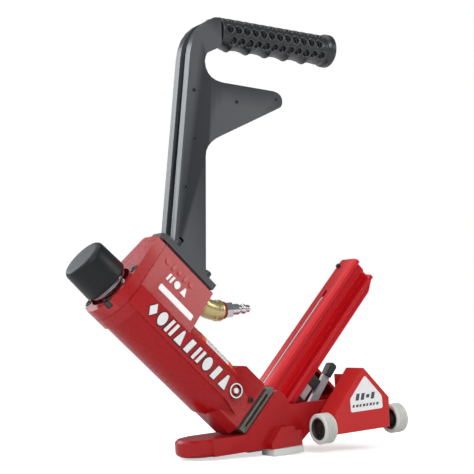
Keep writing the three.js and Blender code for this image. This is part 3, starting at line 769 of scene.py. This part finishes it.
@dataclass
class Signs:
    """Raised plain signs, laid in rows on a surface."""

    depth: float = 0.9
    bevel: float = 0.16

    def outline(self, mark: Mark, width: float, height: float) -> list[list[Point2]]:
        """Returns the outlines of one sign, centred on the origin."""
        w, h = width / 2.0, height / 2.0
        if mark is Mark.DISC:
            return [[(w * math.cos(a), h * math.sin(a)) for a in (2 * math.pi * k / 28 for k in range(28))]]
        if mark is Mark.DIAMOND:
            return [[(-w, 0.0), (0.0, -h), (w, 0.0), (0.0, h)]]
        if mark is Mark.WEDGE:
            return [[(-w, -h), (w, -h), (w * 0.25, h), (-w * 0.25, h)]]
        lean = w * 0.225
        if mark is Mark.PAIR:
            third = width * 0.36
            return [slanted(-w, third - w, -h, h, lean), slanted(w - third, w, -h, h, lean)]
        half = w * 0.62
        return [slanted(-half, half, -h, h, lean)]

    def row(
        self, name: str, marks: Sequence[Mark], start: Vector, step: Vector, up: Vector, size: Point2, finish: Finish
    ) -> bpy.types.Object:
        """Makes a row of signs.

        Args:
            name: the piece's name.
            marks: the signs in order.
            start: the centre of the first, on the surface, in the drive frame.
            step: from one sign to the next.
            up: the direction of the signs' height.
            size: each sign's width and height.
            finish: their finish.

        Returns:
            The row as one object.
        """
        right = step.normalized()
        normal = right.cross(up).normalized()
        frame_turn = Matrix((right, normal.cross(right), normal)).transposed().to_4x4()
        solids = []
        for k, mark in enumerate(marks):
            place = Matrix.Translation(start + step * k) @ frame_turn
            for outline in self.outline(mark, *size):
                solids.append(Shape.moved(Shape.prism(outline, -SUNK, self.depth), place))
        piece = Piece(name, finish, Slot.RED_PAINT, bevel=self.bevel, segments=1)
        return piece.make(Shape.joined(*solids), FRAMES.drive)


def rounded(corners: Sequence[Point2], radius: float, steps: int = 4) -> list[Point2]:
    """Rounds the corners of an outline.

    Args:
        corners: the outline.
        radius: the distance from a corner at which its rounding starts.
        steps: the points in each rounding.

    Returns:
        The rounded outline.
    """
    result: list[Point2] = []
    count = len(corners)
    for k, corner in enumerate(corners):
        here = Vector(corner)
        before, after = Vector(corners[k - 1]) - here, Vector(corners[(k + 1) % count]) - here
        cut = min(radius, before.length * 0.45, after.length * 0.45)
        a, b = here + before.normalized() * cut, here + after.normalized() * cut
        for j in range(steps + 1):
            point = bend(a, here, b, j / steps)
            result.append((point.x, point.y))
    return result


@dataclass
class BodyCasting:
    """The main casting with its head cover, gaskets, nose guide, raised signs and labels."""

    radius: float = 29.5
    panel_face: float = 29.6
    bevel: float = 1.1
    film: Point2 = (-48.0, 30.0)
    film_steps: int = 26
    signs: Signs = field(default_factory=Signs)

    def build(self) -> None:
        """Builds and dresses the group."""
        Piece("casting_shell", PAINT, Slot.RED_PAINT, bevel=self.bevel, segments=3).from_node("main_casting")
        Piece("head_shell", PAINT, Slot.RED_PAINT, bevel=0.9, segments=3).from_node("head_cover")
        Piece("gaskets", RUBBER, Slot.BLACK_RUBBER).from_node("neck_gasket", "flange_gasket")
        Piece("nose_steel_guide", NOSE_STEEL, Slot.NOSE_STEEL, bevel=0.5).from_node("nose_guide")
        self.panel_signs()
        self.tank_signs()
        self.cylinder_label()

    def panel_signs(self) -> None:
        """Builds the row of white signs on the side panel, each over a larger dark plate that paints its shadow."""
        marks = (Mark.DIAMOND, Mark.DISC, Mark.PAIR, Mark.WEDGE, Mark.BAR, Mark.PAIR, Mark.DISC, Mark.BAR, Mark.WEDGE)
        start = Vector((2.4, -self.panel_face, 198.0))
        step = Vector((0.0, 0.0, -12.7))
        up = Vector((1.0, 0.0, 0.0))
        self.signs.row("panel_signs", marks, start, step, up, (9.4, 14.0), WHITE_PRINT)
        # painted shadow: a larger, thin dark plate behind each sign
        Signs(depth=0.35, bevel=0.1).row("panel_sign_edges", marks, start, step, up, (12.0, 16.6), SIGN_SHADOW)
        place = along((0.0, -1.0, 0.0), (4.0, -self.panel_face, 80.6), (1.0, 0.0, 0.0))
        ring = Shape.lathe([(5.9, -SUNK), (7.2, -SUNK), (7.2, 0.75), (5.9, 0.75)], 48)
        dot = Shape.lathe([(0.0, -SUNK), (2.7, -SUNK), (2.7, 0.75), (0.0, 0.75)], 36)
        Piece("panel_ring", WHITE_PRINT, Slot.RED_PAINT, bevel=0.12).make(
            Shape.moved(Shape.joined(ring, dot), place), FRAMES.drive)
        # painted shadow: a wider dark ring behind the ring sign
        edge = Shape.lathe([(5.1, -SUNK), (8.1, -SUNK), (8.1, 0.3), (5.1, 0.3)], 48)
        Piece("panel_ring_edge", SIGN_SHADOW, Slot.RED_PAINT, bevel=0.08).make(Shape.moved(edge, place), FRAMES.drive)

    def tank_signs(self) -> None:
        """Builds the slim label and two rows of small signs on the tank's sloped side."""
        skin = Skin("main_casting", FRAMES.drive)
        middle = skin.near(25.6, 182.5)
        up, step = skin.slope(34.0, 182.5, 9.0), Vector((0.0, 0.0, -1.0))
        turn = Matrix((step, up, step.cross(up))).transposed().to_4x4()
        label = rounded([(-23.0, -3.4), (23.0, -3.4), (23.0, 3.4), (-23.0, 3.4)], 1.6)
        piece = Piece("tank_label", LABEL, Slot.RED_PAINT, bevel=0.1)
        piece.make(Shape.moved(Shape.prism(label, -SUNK, 0.5), Matrix.Translation(middle) @ turn), FRAMES.drive)
        small = Signs(depth=0.7, bevel=0.12)
        upper = (Mark.DISC, Mark.BAR, Mark.DIAMOND, Mark.BAR, Mark.DISC)
        low = (Mark.PAIR, Mark.DISC, Mark.WEDGE)
        small.row("tank_signs_upper", upper, skin.near(51.5, 211.0), step * 8.2, up, (6.0, 6.8), SHOE_PAINT)
        small.row("tank_signs_lower", low, skin.near(40.0, 200.0), step * 9.5, up, (7.0, 8.4), WHITE_PRINT)

    def cylinder_label(self) -> None:
        """Builds the film label round the cylinder's upper side, with an orange stripe at each end."""
        spans = {"film_middle": (99.0, 132.0, LABEL), "film_end_low": (93.5, 99.0, LABEL_ORANGE),
                 "film_end_high": (132.0, 138.0, LABEL_ORANGE)}
        for name, (low, high, finish) in spans.items():
            outer = Shape.arc((0.0, 0.0), self.radius + 0.28, *self.film, self.film_steps)
            inner = Shape.arc((0.0, 0.0), self.radius - SUNK, *reversed(self.film), self.film_steps)
            Piece(name, finish, Slot.RED_PAINT).make(Shape.prism(outer + inner, low, high), FRAMES.drive)
        dots = [
            Shape.moved(Shape.lathe([(0.0, -SUNK), (0.7, -SUNK), (0.7, 0.1), (0.0, 0.1)], 10), place)
            for place in self.dot_places()
        ]
        Piece("film_dots", LABEL_GREY, Slot.RED_PAINT).make(Shape.joined(*dots), FRAMES.drive)

    def dot_places(self) -> Iterable[Matrix]:
        """Yields where the small grey dots of the film label lie."""
        for k in range(9):
            for j, degrees in enumerate((-38.0, -28.0, -16.0)):
                if (k + j) % 3 == 0:
                    continue
                angle = math.radians(degrees)
                out = Vector((math.cos(angle), math.sin(angle), 0.0))
                point = out * (self.radius + 0.3) + Vector((0.0, 0.0, 102.0 + 3.3 * k))
                yield along(tuple(out), tuple(point), (0.0, 0.0, 1.0))


@dataclass
class Striker:
    """The struck rubber cap on its steel washer, with the plunger below."""

    bottom: float = 240.0
    top: float = 273.0
    radius: float = 22.8
    rim: float = 4.6
    washer: tuple[float, float, float] = (236.0, 239.7, 19.5)

    def build(self) -> None:
        """Builds and dresses the group."""
        upper = self.radius - 0.9
        corner = Shape.arc((upper - self.rim, self.top - self.rim), self.rim, 0.0, 84.0, 8)
        skirt = [(0.0, self.bottom), (self.radius - 1.4, self.bottom), (self.radius - 0.4, self.bottom + 0.5),
                 (self.radius, self.bottom + 1.6), (upper + 0.1, self.top - self.rim - 1.0)]
        crown = [(upper - self.rim - 3.0, self.top - 0.12), (0.0, self.top + 0.05)]
        cap = Piece("strike_cap_rubber", CAP_RUBBER, Slot.BLACK_RUBBER, body=Body.STRIKER.value,
                    stands_for=("strike_cap",), smooth=60.0)
        cap.make(Shape.lathe(skirt + corner + crown, 96), FRAMES.drive)
        low, high, radius = self.washer
        profile = [(0.0, low), (radius - 0.7, low), (radius, low + 0.7), (radius, high - 1.5),
                   (radius - 1.0, high - 1.2), (radius - 1.0, high - 0.4), (0.0, high - 0.1)]
        washer = Piece("cap_steel_washer", DULL_STEEL, Slot.BRIGHT_STEEL, body=Body.STRIKER.value,
                       stands_for=("cap_washer",), smooth=30.0)
        washer.make(Shape.lathe(profile, 80), FRAMES.drive)
        dress(DULL_STEEL, "strike_plunger", "plunger_spring")
        dress(BRASS, "main_valve")


@dataclass
class Screws:
    """Socket-head screws, one mesh copied to every place a CAD screw has."""

    head_radius: float = 4.2
    head_height: float = 6.0
    side_head_height: float = 5.6
    socket: float = 2.1
    knurl: float = 0.965
    seats: dict[str, tuple[Sequence[str], Point3]] = field(default_factory=lambda: {
        "head_socket_screws": (("head_screw_1", "head_screw_2", "head_screw_3", "head_screw_4"), (0.0, 0.0, 1.0)),
        "flange_socket_screws": (("flange_screw_1", "flange_screw_2", "flange_screw_3", "flange_screw_4"),
                                 (1.0, 0.0, 0.0)),
    })

    def screw(self, scale: float) -> Solid:
        """Returns one screw standing on Z = 0, with its shank below, in millimetres."""
        r, h, s = self.head_radius * scale, self.head_height * scale, self.socket * scale
        head = Shape.lathe([
            (0.0, h * 0.45), (s, h * 0.45), (s, h - 0.5), (s + 0.4, h),
            (r - 0.6, h), (r, h - 0.6), (r, 0.25), (r - 0.25, 0.0), (1.6 * scale, 0.0), (1.6 * scale, -10.0 * scale),
            (0.0, -10.0 * scale),
        ], 36)
        for k, vert in enumerate(v for v in head.verts if abs(math.hypot(v.co.x, v.co.y) - r) < 1e-4):
            if k % 2:
                vert.co.x *= self.knurl
                vert.co.y *= self.knurl
        return head

    def build(self) -> None:
        """Builds every set of screws."""
        recipe = PlacesRecipe(BLACK_STEEL)
        for name, (nodes, direction) in self.seats.items():
            axis = (FRAMES.drive.to_3x3() @ Vector(direction)).normalized()
            heads = [self.head_base(node, direction) for node in nodes]
            solid = Shape.moved(self.screw(heads[0][1] / self.head_height), Matrix.Scale(MM, 4))
            piece = Piece(name, BLACK_STEEL, Slot.BLACK_STEEL, smooth=30.0, stands_for=tuple(nodes))
            copies(piece, solid, [(place, axis) for place, _ in heads], recipe)
        for node in ("nose_screw_near", "nose_screw_far", "magazine_stop_screw"):
            Piece(node + "_head", BLACK_STEEL, Slot.BLACK_STEEL, bevel=0.25).from_node(node)

    def head_base(self, node: str, direction: Point3) -> tuple[Vector, float]:
        """Returns where a CAD screw's head stands in the row frame, and the head's height in millimetres.

        Args:
            node: the CAD screw.
            direction: its axis in the drive frame, towards the head.

        Returns:
            The centre of the head's underside, and its height.
        """
        back = FRAMES.drive.inverted()
        axis = Vector(direction)
        corners = [back @ v.co for v in frame["nodes"][node].data.vertices]
        heights = sorted(c.dot(axis) for c in corners)
        top = heights[-1]
        head = self.head_height if abs(direction[2]) > 0.5 else self.side_head_height
        centre = sum(corners, Vector()) / len(corners)
        flat = centre - axis * centre.dot(axis)
        return FRAMES.drive @ (flat + axis * (top - head)), head


@dataclass
class Handle:
    """The handle casting, the small marks on its web and its dimpled grip."""

    start: Point2 = (-31.0, 416.0)
    end: Point2 = (111.0, 408.2)
    radius: float = 15.6
    bore: float = 11.3
    end_ring: float = 17.6
    cusps: Sequence[float] = (-17.8, 5.4, 29.4, 53.7, 77.5)
    cusp_radius: float = 18.2
    arch_radius: float = 14.6
    around: int = 168
    rings: int = 300
    flare: Point2 = (11.0, 4.5)
    lip: Point2 = (1.8, 1.6)
    bare: float = 9.0
    web_dots: Sequence[Point2] = ((-70.1, 352.3), (-72.8, 304.3), (-86.5, 256.9), (-21.2, 343.0), (27.8, 348.3))

    def build(self) -> None:
        """Builds and dresses the group."""
        Piece("handle_shell", HANDLE_COAT, Slot.BLACK_CASTING, bevel=1.3, segments=3).from_node("handle_casting")
        self.grip()
        self.web_plugs()

    def web_plugs(self) -> None:
        """Builds the small round ejector marks on both faces of the web."""
        skin = Skin("handle_casting", FRAMES.tool)
        side = (FRAMES.tool.to_3x3() @ Vector((0.0, -1.0, 0.0))).normalized()
        places = []
        for x, z in self.web_dots:
            point = skin.near(x, z)
            places += [(FRAMES.tool @ point, side), (FRAMES.tool @ Vector((x, -point.y, z)), -side)]
        plug = Shape.lathe([(0.0, 0.12), (1.1, 0.12), (1.4, 0.5), (1.9, 0.5), (2.1, 0.3), (2.1, -0.3), (0.0, -0.3)], 24)
        piece = Piece("web_plugs", BLACK_STEEL, Slot.BLACK_CASTING, smooth=40.0)
        copies(piece, Shape.moved(plug, Matrix.Scale(MM, 4)), places, PlacesRecipe(BLACK_STEEL))

    def grip(self) -> None:
        """Builds the grip: a skin with finger arches below, then dimples pressed in by the recipe."""
        direction = Vector((self.end[0] - self.start[0], 0.0, self.end[1] - self.start[1]))
        length = direction.length
        place = FRAMES.tool @ along(tuple(direction), (self.start[0], 0.0, self.start[1]))
        solid = self.skin(length)
        Shape.moved(solid, place)
        recipe = DimpleRecipe(GRIP_RUBBER)
        mesh = recipe.cook(solid, {"Tube Radius": self.radius * MM, "First": 0.0075, "Last": (length - 12.5) * MM})
        piece = Piece("grip_rubber_skin", GRIP_RUBBER, Slot.BLACK_RUBBER, smooth=70.0, stands_for=("handle_grip",))
        piece.adopt(mesh)

    def bottom_radius(self, x: float) -> float:
        """Returns the grip's radius straight below its axis, at a place along the tool."""
        first, last = self.cusps[0], self.cusps[-1]
        pitch = (last - first) / (len(self.cusps) - 1)
        if x < first - pitch * 0.9 or x > last + pitch * 0.8:
            return self.radius
        wave = abs(math.sin(math.pi * (x - first) / pitch)) ** 0.75
        return self.cusp_radius + (self.arch_radius - self.cusp_radius) * wave

    def skin(self, length: float) -> Solid:
        """Returns the closed skin about local Z, with ``along`` and ``angle`` stored for the recipe."""
        bm = bmesh.new()
        far = bm.verts.layers.float.new("along")
        turn = bm.verts.layers.float.new("angle")
        profile: list[tuple[float, float, bool]] = [(self.bore, 0.0, False), (self.radius - 0.8, 0.0, False)]
        (flare, flare_length), (lip, lip_drop) = self.flare, self.lip
        for z in (length * k / self.rings for k in range(1, self.rings + 1)):
            swell = self.radius
            if z > length - flare:
                t = min(1.0, (z - length + flare) / flare_length)
                swell += (self.end_ring - self.radius) * t * t * (3 - 2 * t)
            if z > length - lip:
                swell -= lip_drop * ((z - length + lip) / lip) ** 2
            profile.append((swell, z, True))
        profile += [(self.end_ring - 3.6, length, False), (11.4, length - 0.6, False), (10.6, length - 3.5, False),
                    (0.0, length - 3.6, False)]
        rows: list[Ring] = []
        for radius, z, skin in profile:
            if radius <= 0.0:
                vert = bm.verts.new((0.0, 0.0, z))
                vert[far], vert[turn] = self.bare, 0.0
                rows.append([vert])
                continue
            row = []
            for k in range(self.around):
                angle = 2.0 * math.pi * (k + 0.5) / self.around - math.pi
                r = radius
                if skin and radius <= self.radius + 0.01:
                    below = max(0.0, -math.cos(angle)) ** 4
                    r += (self.bottom_radius(self.start[0] + z) - self.radius) * below
                vert = bm.verts.new((-r * math.cos(angle), r * math.sin(angle), z))
                vert[far] = z * MM if skin else self.bare
                vert[turn] = angle
                row.append(vert)
            rows.append(row)
        Shape.bridge(bm, rows, self.around)
        bm.faces.new(rows[0])
        return Shape.outward(bm)


@dataclass
class Inlet:
    """The brass elbow, the red thread seal and the nickel air plug."""

    corner: Point2 = (-62.5, 136.7)
    tank_rear: float = 153.2
    elbow_end: float = -47.6
    seal_end: float = -43.6
    hex_end: float = -35.8
    tip: float = -13.3
    collar: float = 10.6
    pipe: float = 9.7
    hexagon: float = 8.4

    def build(self) -> None:
        """Builds and dresses the group."""
        self.elbow()
        Piece("seal_band", SEAL, Slot.SEAL_RED, bevel=0.4).from_node("thread_seal")
        self.plug()

    def elbow(self) -> None:
        """Builds the elbow as a swept bend with a raised collar at each mouth."""
        x, z = self.corner
        reach = self.tank_rear - (z - x) * HALF_ROOT
        tank = Vector((x - reach * HALF_ROOT, 0.0, z + reach * HALF_ROOT))
        corner, mouth = Vector((x, 0.0, z)), Vector((self.elbow_end, 0.0, z))
        path = [bend(tank, corner, mouth, k / 24.0) for k in range(25)]
        radii = [10.0] + [self.collar] * 4 + [self.pipe] * 14 + [self.collar] * 5 + [10.1]
        piece = Piece("elbow_brass", BRASS, Slot.BRASS, smooth=34.0, stands_for=("brass_elbow",))
        piece.make(Shape.sweep(path, radii, 40), FRAMES.tool)

    def plug(self) -> None:
        """Builds the plug: a hexagon and a stepped nipple with a rounded tip."""
        length = self.tip - self.hex_end
        nipple = Shape.lathe([
            (0.0, -0.2), (5.4, -0.2), (5.6, 0.3), (5.6, 8.6), (5.1, 9.3), (4.0, 10.4), (3.9, 12.6), (4.4, 13.2),
            (5.1, 14.2), (5.2, 15.6), (4.9, 16.3), (4.0, 17.4), (3.8, 18.2), (3.8, length - 1.2), (3.3, length - 0.3),
            (2.7, length), (2.5, length - 1.0), (2.4, length - 7.0), (0.0, length - 7.2),
        ], 48)
        Shape.moved(nipple, along((1.0, 0.0, 0.0), (self.hex_end, 0.0, self.corner[1])))
        width = self.hex_end - self.seal_end - 0.3
        hexagon = Shape.prism(Shape.arc((0.0, 0.0), self.hexagon, 30.0, 330.0, 5), 0.0, width)
        Shape.moved(hexagon, along((1.0, 0.0, 0.0), (self.seal_end + 0.3, 0.0, self.corner[1])))
        piece = Piece("plug_nickel", BRIGHT_STEEL, Slot.BRIGHT_STEEL, bevel=0.35, smooth=30.0, stands_for=("air_plug",))
        piece.make(Shape.joined(nipple, hexagon), FRAMES.tool)


@dataclass
class Magazine:
    """The anodised nail channel with its wire, pusher and rest."""

    bevel: float = 0.55

    def build(self) -> None:
        """Builds and dresses the group."""
        Piece("channel_extrusion", ANODISED, Slot.ANODISED, bevel=self.bevel).from_node("magazine_channel")
        Piece("wire_rod", DULL_STEEL, Slot.BRIGHT_STEEL, smooth=70.0).from_node("retaining_wire")
        Piece("pusher_plate", DULL_STEEL, Slot.BRIGHT_STEEL, body=Body.PUSHER.value, bevel=0.3).from_node(
            "nail_pusher", "pusher_spring_coil")
        Piece("rest_block", PALE_STEEL, Slot.BRIGHT_STEEL, bevel=0.7).from_node("magazine_rest")
        Piece("rest_cap", RUBBER, Slot.BLACK_RUBBER, bevel=1.2).from_node("magazine_rest_cap")


@dataclass
class Shoe:
    """The red base shoe with its sole pads, lever pin, foot guide and clamp bolt."""

    def build(self) -> None:
        """Builds and dresses the group."""
        Piece("shoe_shell", SHOE_PAINT, Slot.RED_PAINT, bevel=1.3, segments=3).from_node("base_shoe")
        Piece("pads", NYLON, Slot.PALE_NYLON, bevel=0.6).from_node("sole_pad_near", "sole_pad_far")
        Piece("lever_pivot_pin", BLACK_STEEL, Slot.BLACK_STEEL, bevel=0.3).from_node("lever_pin")
        Piece("guide_plate", NOSE_STEEL, Slot.NOSE_STEEL, bevel=0.5).from_node("foot_guide")
        Piece("clamp_bolt", BLACK_STEEL, Slot.BLACK_STEEL, bevel=0.4).from_node("foot_clamp_bolt")


@dataclass
class Foot:
    """The folded foot bracket, its label, axles and four grooved rollers."""

    label_face: float = -51.0
    label: Sequence[Point2] = ((87.2, 61.9), (107.9, 39.7), (107.9, 27.1), (66.4, 26.8), (66.4, 40.1))
    radius: float = 15.0
    width: float = 13.8
    groove: float = 0.9
    hub: float = 10.7
    bore: float = 4.35
    roller_y: float = 41.0
    roller_z: float = 13.9
    ends: dict[str, float] = field(default_factory=lambda: {"front": 31.2, "rear": 124.0})

    def build(self) -> None:
        """Builds and dresses the group."""
        foot = Body.FOOT.value
        Piece("bracket_sheet", SHEET_PAINT, Slot.SHEET_RED, body=foot, bevel=0.7).from_node("foot_bracket")
        Piece("axles", BLACK_STEEL, Slot.BRIGHT_STEEL, body=foot, bevel=0.4).from_node(
            "roller_axle_near", "roller_axle_far")
        Piece("spacers", BLACK_STEEL, Slot.BLACK_STEEL, body=foot, bevel=0.4).from_node(
            "axle_spacer_near", "axle_spacer_far")
        self.labels()
        ribs = RibRecipe(NYLON)
        for end, x in self.ends.items():
            for name, side in (("near", -1.0), ("far", 1.0)):
                place = FRAMES.tool @ along((1.0, 0.0, 0.0), (x, side * self.roller_y, self.roller_z))
                self.roller(f"{end}_{name}", place, ribs)

    def labels(self) -> None:
        """Builds the film label on the near plate, with plain grey lines."""
        face = along((0.0, -1.0, 0.0), (0.0, self.label_face, 0.0), (0.0, 0.0, 1.0))
        flip = -1.0 if (face.to_3x3() @ Vector((1.0, 0.0, 0.0))).x < 0 else 1.0
        outline = rounded([(flip * x, z) for x, z in self.label], 2.4)
        film = Shape.moved(Shape.prism(outline, -0.2, 0.25), face)
        Piece("foot_film", LABEL, Slot.SHEET_RED, body=Body.FOOT.value).make(film, FRAMES.tool)
        bold = [(74.0 + 6.6 * k, 78.2 + 6.6 * k, 41.2, 6.6 if k != 2 else 3.4) for k in range(4)]
        fine = [(69.0 + 4.4 * k, 71.4 + 4.4 * k + 0.6 * (k % 2), 32.6, 2.6) for k in range(8)]
        bars = []
        for low, high, z, tall in bold + fine:
            outline = slanted(low, high, z - tall / 2, z + tall / 2, tall * 0.14)
            corners = [(flip * x, height) for x, height in outline]
            bars.append(Shape.moved(Shape.prism(corners, 0.1, 0.3), face))
        Piece("foot_film_lines", LABEL_GREY, Slot.SHEET_RED, body=Body.FOOT.value).make(
            Shape.joined(*bars), FRAMES.tool)

    def roller(self, name: str, place: Matrix, ribs: Recipe) -> None:
        """Builds one roller: a dished hub and a tyre with fine ribs, over a dark core that paints the shade in the
        grooves.

        Args:
            name: which end and side.
            place: the matrix from its own axis to the row frame.
            ribs: the recipe that repeats a rib.
        """
        body = f"roller_{name}"
        inner = self.hub + 0.3
        r, w = self.radius, self.width
        floor = r - self.groove
        side = [(inner, 0.3), (inner + 0.6, 0.0), (r - 1.5, 0.0), (r - 0.5, 0.4), (r, 1.2), (r, 1.6), (floor, 1.8)]
        tyre = Shape.lathe(Shape.mirrored(side, w), 72)
        pitch = (w - 4.0) / 6.0
        half = pitch * 0.27
        ring = Shape.lathe(Shape.mirrored([(floor - 0.2, -half), (r - 0.2, -half), (r, -half + 0.2)], 0.0), 72)
        mesh = ribs.cook(ring, {"Count": 6.0, "Pitch": pitch})
        rings = bmesh.new()
        rings.from_mesh(mesh)
        bpy.data.meshes.remove(mesh)
        Shape.moved(rings, Matrix.Translation((0.0, 0.0, 2.0 + pitch / 2.0)))
        piece = Piece(f"tyre_{name}", NYLON, Slot.PALE_NYLON, body=body, smooth=50.0,
                      stands_for=(f"roller_tyre_{name}",))
        piece.make(Shape.joined(tyre, rings), place)
        # painted shade: a dark core at the floor of the grooves between the ribs
        core = Shape.lathe(Shape.mirrored([(floor - 0.5, 1.85), (floor + 0.06, 1.85)], w), 72)
        Piece(f"tyre_core_{name}", GROOVE_SHADE_NYLON, Slot.PALE_NYLON, body=body, smooth=50.0).make(core, place)
        dish = [(self.bore, 2.6), (6.2, 2.6), (6.6, 3.2), (8.2, 3.6), (8.9, 1.0), (9.3, 0.4), (self.hub, 0.4)]
        hub = Shape.lathe(Shape.mirrored(dish, w), 56)
        Piece(f"hub_{name}", RUBBER, Slot.BLACK_RUBBER, body=body, smooth=40.0,
              stands_for=(f"roller_hub_{name}",)).make(hub, place)


@dataclass
class Lever:
    """The lock lever with its black handle."""

    def build(self) -> None:
        """Builds and dresses the group."""
        lever = Body.LEVER.value
        Piece("lever_bar", PALE_STEEL, Slot.BRIGHT_STEEL, body=lever, bevel=0.5).from_node("lock_lever")
        Piece("lever_knob", RUBBER, Slot.BLACK_RUBBER, body=lever, bevel=1.4, segments=3).from_node("lever_handle")


@dataclass
class Works:
    """The working parts inside the cylinder."""

    def build(self) -> None:
        """Dresses the inner CAD nodes."""
        dress(DULL_STEEL, "cylinder_sleeve", "piston")
        dress(RUBBER, "bumper", "piston_ring")
        dress(NOSE_STEEL, "driver_blade")


# --- Studio ---


def facing(direction: Vector) -> Matrix:
    """Returns the turn that lays local Z along a direction."""
    return direction.to_track_quat("Z", "Y").to_matrix().to_4x4()


@dataclass(frozen=True)
class SoftBox:
    """A rectangular lamp that faces the middle of the tool."""

    name: str
    direction: Point3
    distance: float
    size: Point2
    power: float
    color: Rgb

    def light(self, centre: Vector) -> None:
        """Hangs the lamp at its distance from a centre."""
        data = bpy.data.lights.new(self.name, "AREA")
        data.shape = "RECTANGLE"
        data.size, data.size_y = self.size
        data.energy = self.power
        data.color = self.color
        where = centre + Vector(self.direction).normalized() * self.distance
        hang(self.name, data).matrix_world = Matrix.Translation(where) @ facing(where - centre)


@dataclass
class Studio:
    """The floor, lights and camera."""

    azimuth: float = math.radians(-33.2)
    pitch: float = math.radians(-6.3)
    tilt: float = math.radians(4.5)
    eye: Point3 = (-601.7, -874.8, 138.7)
    focal: float = 79.75
    sensor: float = 36.0
    floor_half: float = 14.0
    floor_gap: float = 0.0002
    floor_glow: float = 0.62
    sky_strength: float = 0.2
    sun_power: float = 1.35
    sun_spread: float = math.radians(75)
    boxes: Sequence[SoftBox] = (
        SoftBox("side_box", (0.79, -0.5, 0.36), 1.9, (0.62, 0.6), 8.5, (1.0, 0.98, 0.97)),
        SoftBox("back_box", (-0.42, 0.85, 0.38), 2.0, (1.4, 0.9), 15.0, (0.9, 0.95, 1.0)),
        SoftBox("left_box", (-0.92, -0.12, 0.36), 2.0, (0.7, 1.4), 7.5, (0.93, 0.97, 1.0)),
        SoftBox("front_box", (-0.3, -0.9, 0.62), 2.2, (0.9, 0.8), 19.0, (1.0, 1.0, 1.0)),
    )

    def build(self) -> None:
        """Sets up the whole studio."""
        bpy.context.scene.view_settings.view_transform = "Standard"
        self.floor()
        self.world()
        self.lights()
        self.camera()

    def camera(self) -> None:
        """Places the camera from its stand beside the tool."""
        sight = Matrix.Rotation(self.azimuth, 3, "Z")
        right = sight @ Vector((1.0, 0.0, 0.0))
        flat = sight @ Vector((0.0, -1.0, 0.0))
        back = (flat * math.cos(self.pitch) + Vector((0.0, 0.0, math.sin(self.pitch)))).normalized()
        up = back.cross(right)
        level = Matrix.Rotation(self.tilt, 3, "Y")
        turn = FRAMES.tool.to_3x3().normalized() @ level
        axes = Matrix((turn @ right, turn @ up, turn @ back)).transposed().to_4x4()
        data = bpy.data.cameras.new("camera")
        data.lens = self.focal
        data.sensor_width = self.sensor
        data.clip_start = 0.05
        data.clip_end = 60.0
        camera = hang("camera", data)
        camera.matrix_world = Matrix.Translation(FRAMES.tool @ Vector(self.eye)) @ axes
        bpy.context.scene.camera = camera

    def floor(self) -> None:
        """Builds the pale floor."""
        low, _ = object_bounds()
        mesh = bpy.data.meshes.new("floor")
        half = self.floor_half
        corners = [(-half, -half, 0.0), (half, -half, 0.0), (half, half, 0.0), (-half, half, 0.0)]
        mesh.from_pydata(corners, [], [(0, 1, 2, 3)])
        mesh.transform(Matrix.Translation((0.0, 0.0, low[2] - self.floor_gap)))
        pale = FLOOR.build()
        tree = pale.node_tree
        shown = add(tree, "ShaderNodeLightPath").outputs["Is Camera Ray"]
        glow = add(tree, "ShaderNodeMath", {0: shown, 1: self.floor_glow}, operation="MULTIPLY").outputs[0]
        shader = tree.nodes["Principled BSDF"]
        feed(tree, shader.inputs["Emission Color"], WHITE)
        feed(tree, shader.inputs["Emission Strength"], glow)
        mesh.materials.append(pale)
        thing = hang("floor", mesh)
        thing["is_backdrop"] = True

    def world(self) -> None:
        """Gives the world a bright even backdrop and a softer light of its own."""
        world = bpy.data.worlds.new("studio")
        bpy.context.scene.world = world
        world.use_nodes = True
        tree = world.node_tree
        tree.nodes.clear()
        seen = add(tree, "ShaderNodeBackground", {"Color": WHITE, "Strength": 1.0}).outputs[0]
        sky = {"Color": (0.93, 0.96, 1.0, 1.0), "Strength": self.sky_strength}
        lit = add(tree, "ShaderNodeBackground", sky).outputs[0]
        direct = add(tree, "ShaderNodeLightPath").outputs["Is Camera Ray"]
        mix = add(tree, "ShaderNodeMixShader", {0: direct, 1: lit, 2: seen})
        add(tree, "ShaderNodeOutputWorld", {"Surface": mix.outputs[0]})

    def lights(self) -> None:
        """Hangs a wide sun and the soft boxes."""
        sun = bpy.data.lights.new("top_glow", "SUN")
        sun.energy, sun.angle = self.sun_power, self.sun_spread
        hang("top_glow", sun).matrix_world = facing(Vector((-0.25, 0.2, 1.0)))
        for box in self.boxes:
            box.light(Vector((0.0, 0.0, 0.2)))


def note_size(store: dict[str, list[list[float]]], key: str) -> None:
    """Notes the model's bounds under a key."""
    low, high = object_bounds()
    store[key] = [list(map(float, low)), list(map(float, high))]


def main() -> None:
    """Builds every group in order."""
    logging.basicConfig(level=logging.INFO, format="%(name)s: %(message)s")
    sizes: dict[str, list[list[float]]] = {}
    note_size(sizes, "frame")
    groups: Sequence[object] = (
        BodyCasting(), Striker(), Screws(), Handle(), Inlet(), Magazine(), Shoe(), Foot(), Lever(), Works(), Studio(),
    )
    for group in groups:
        group.build()
        LOG.info("built %s", type(group).__name__)
    note_size(sizes, "visual")


if __name__ == "__main__":
    main()
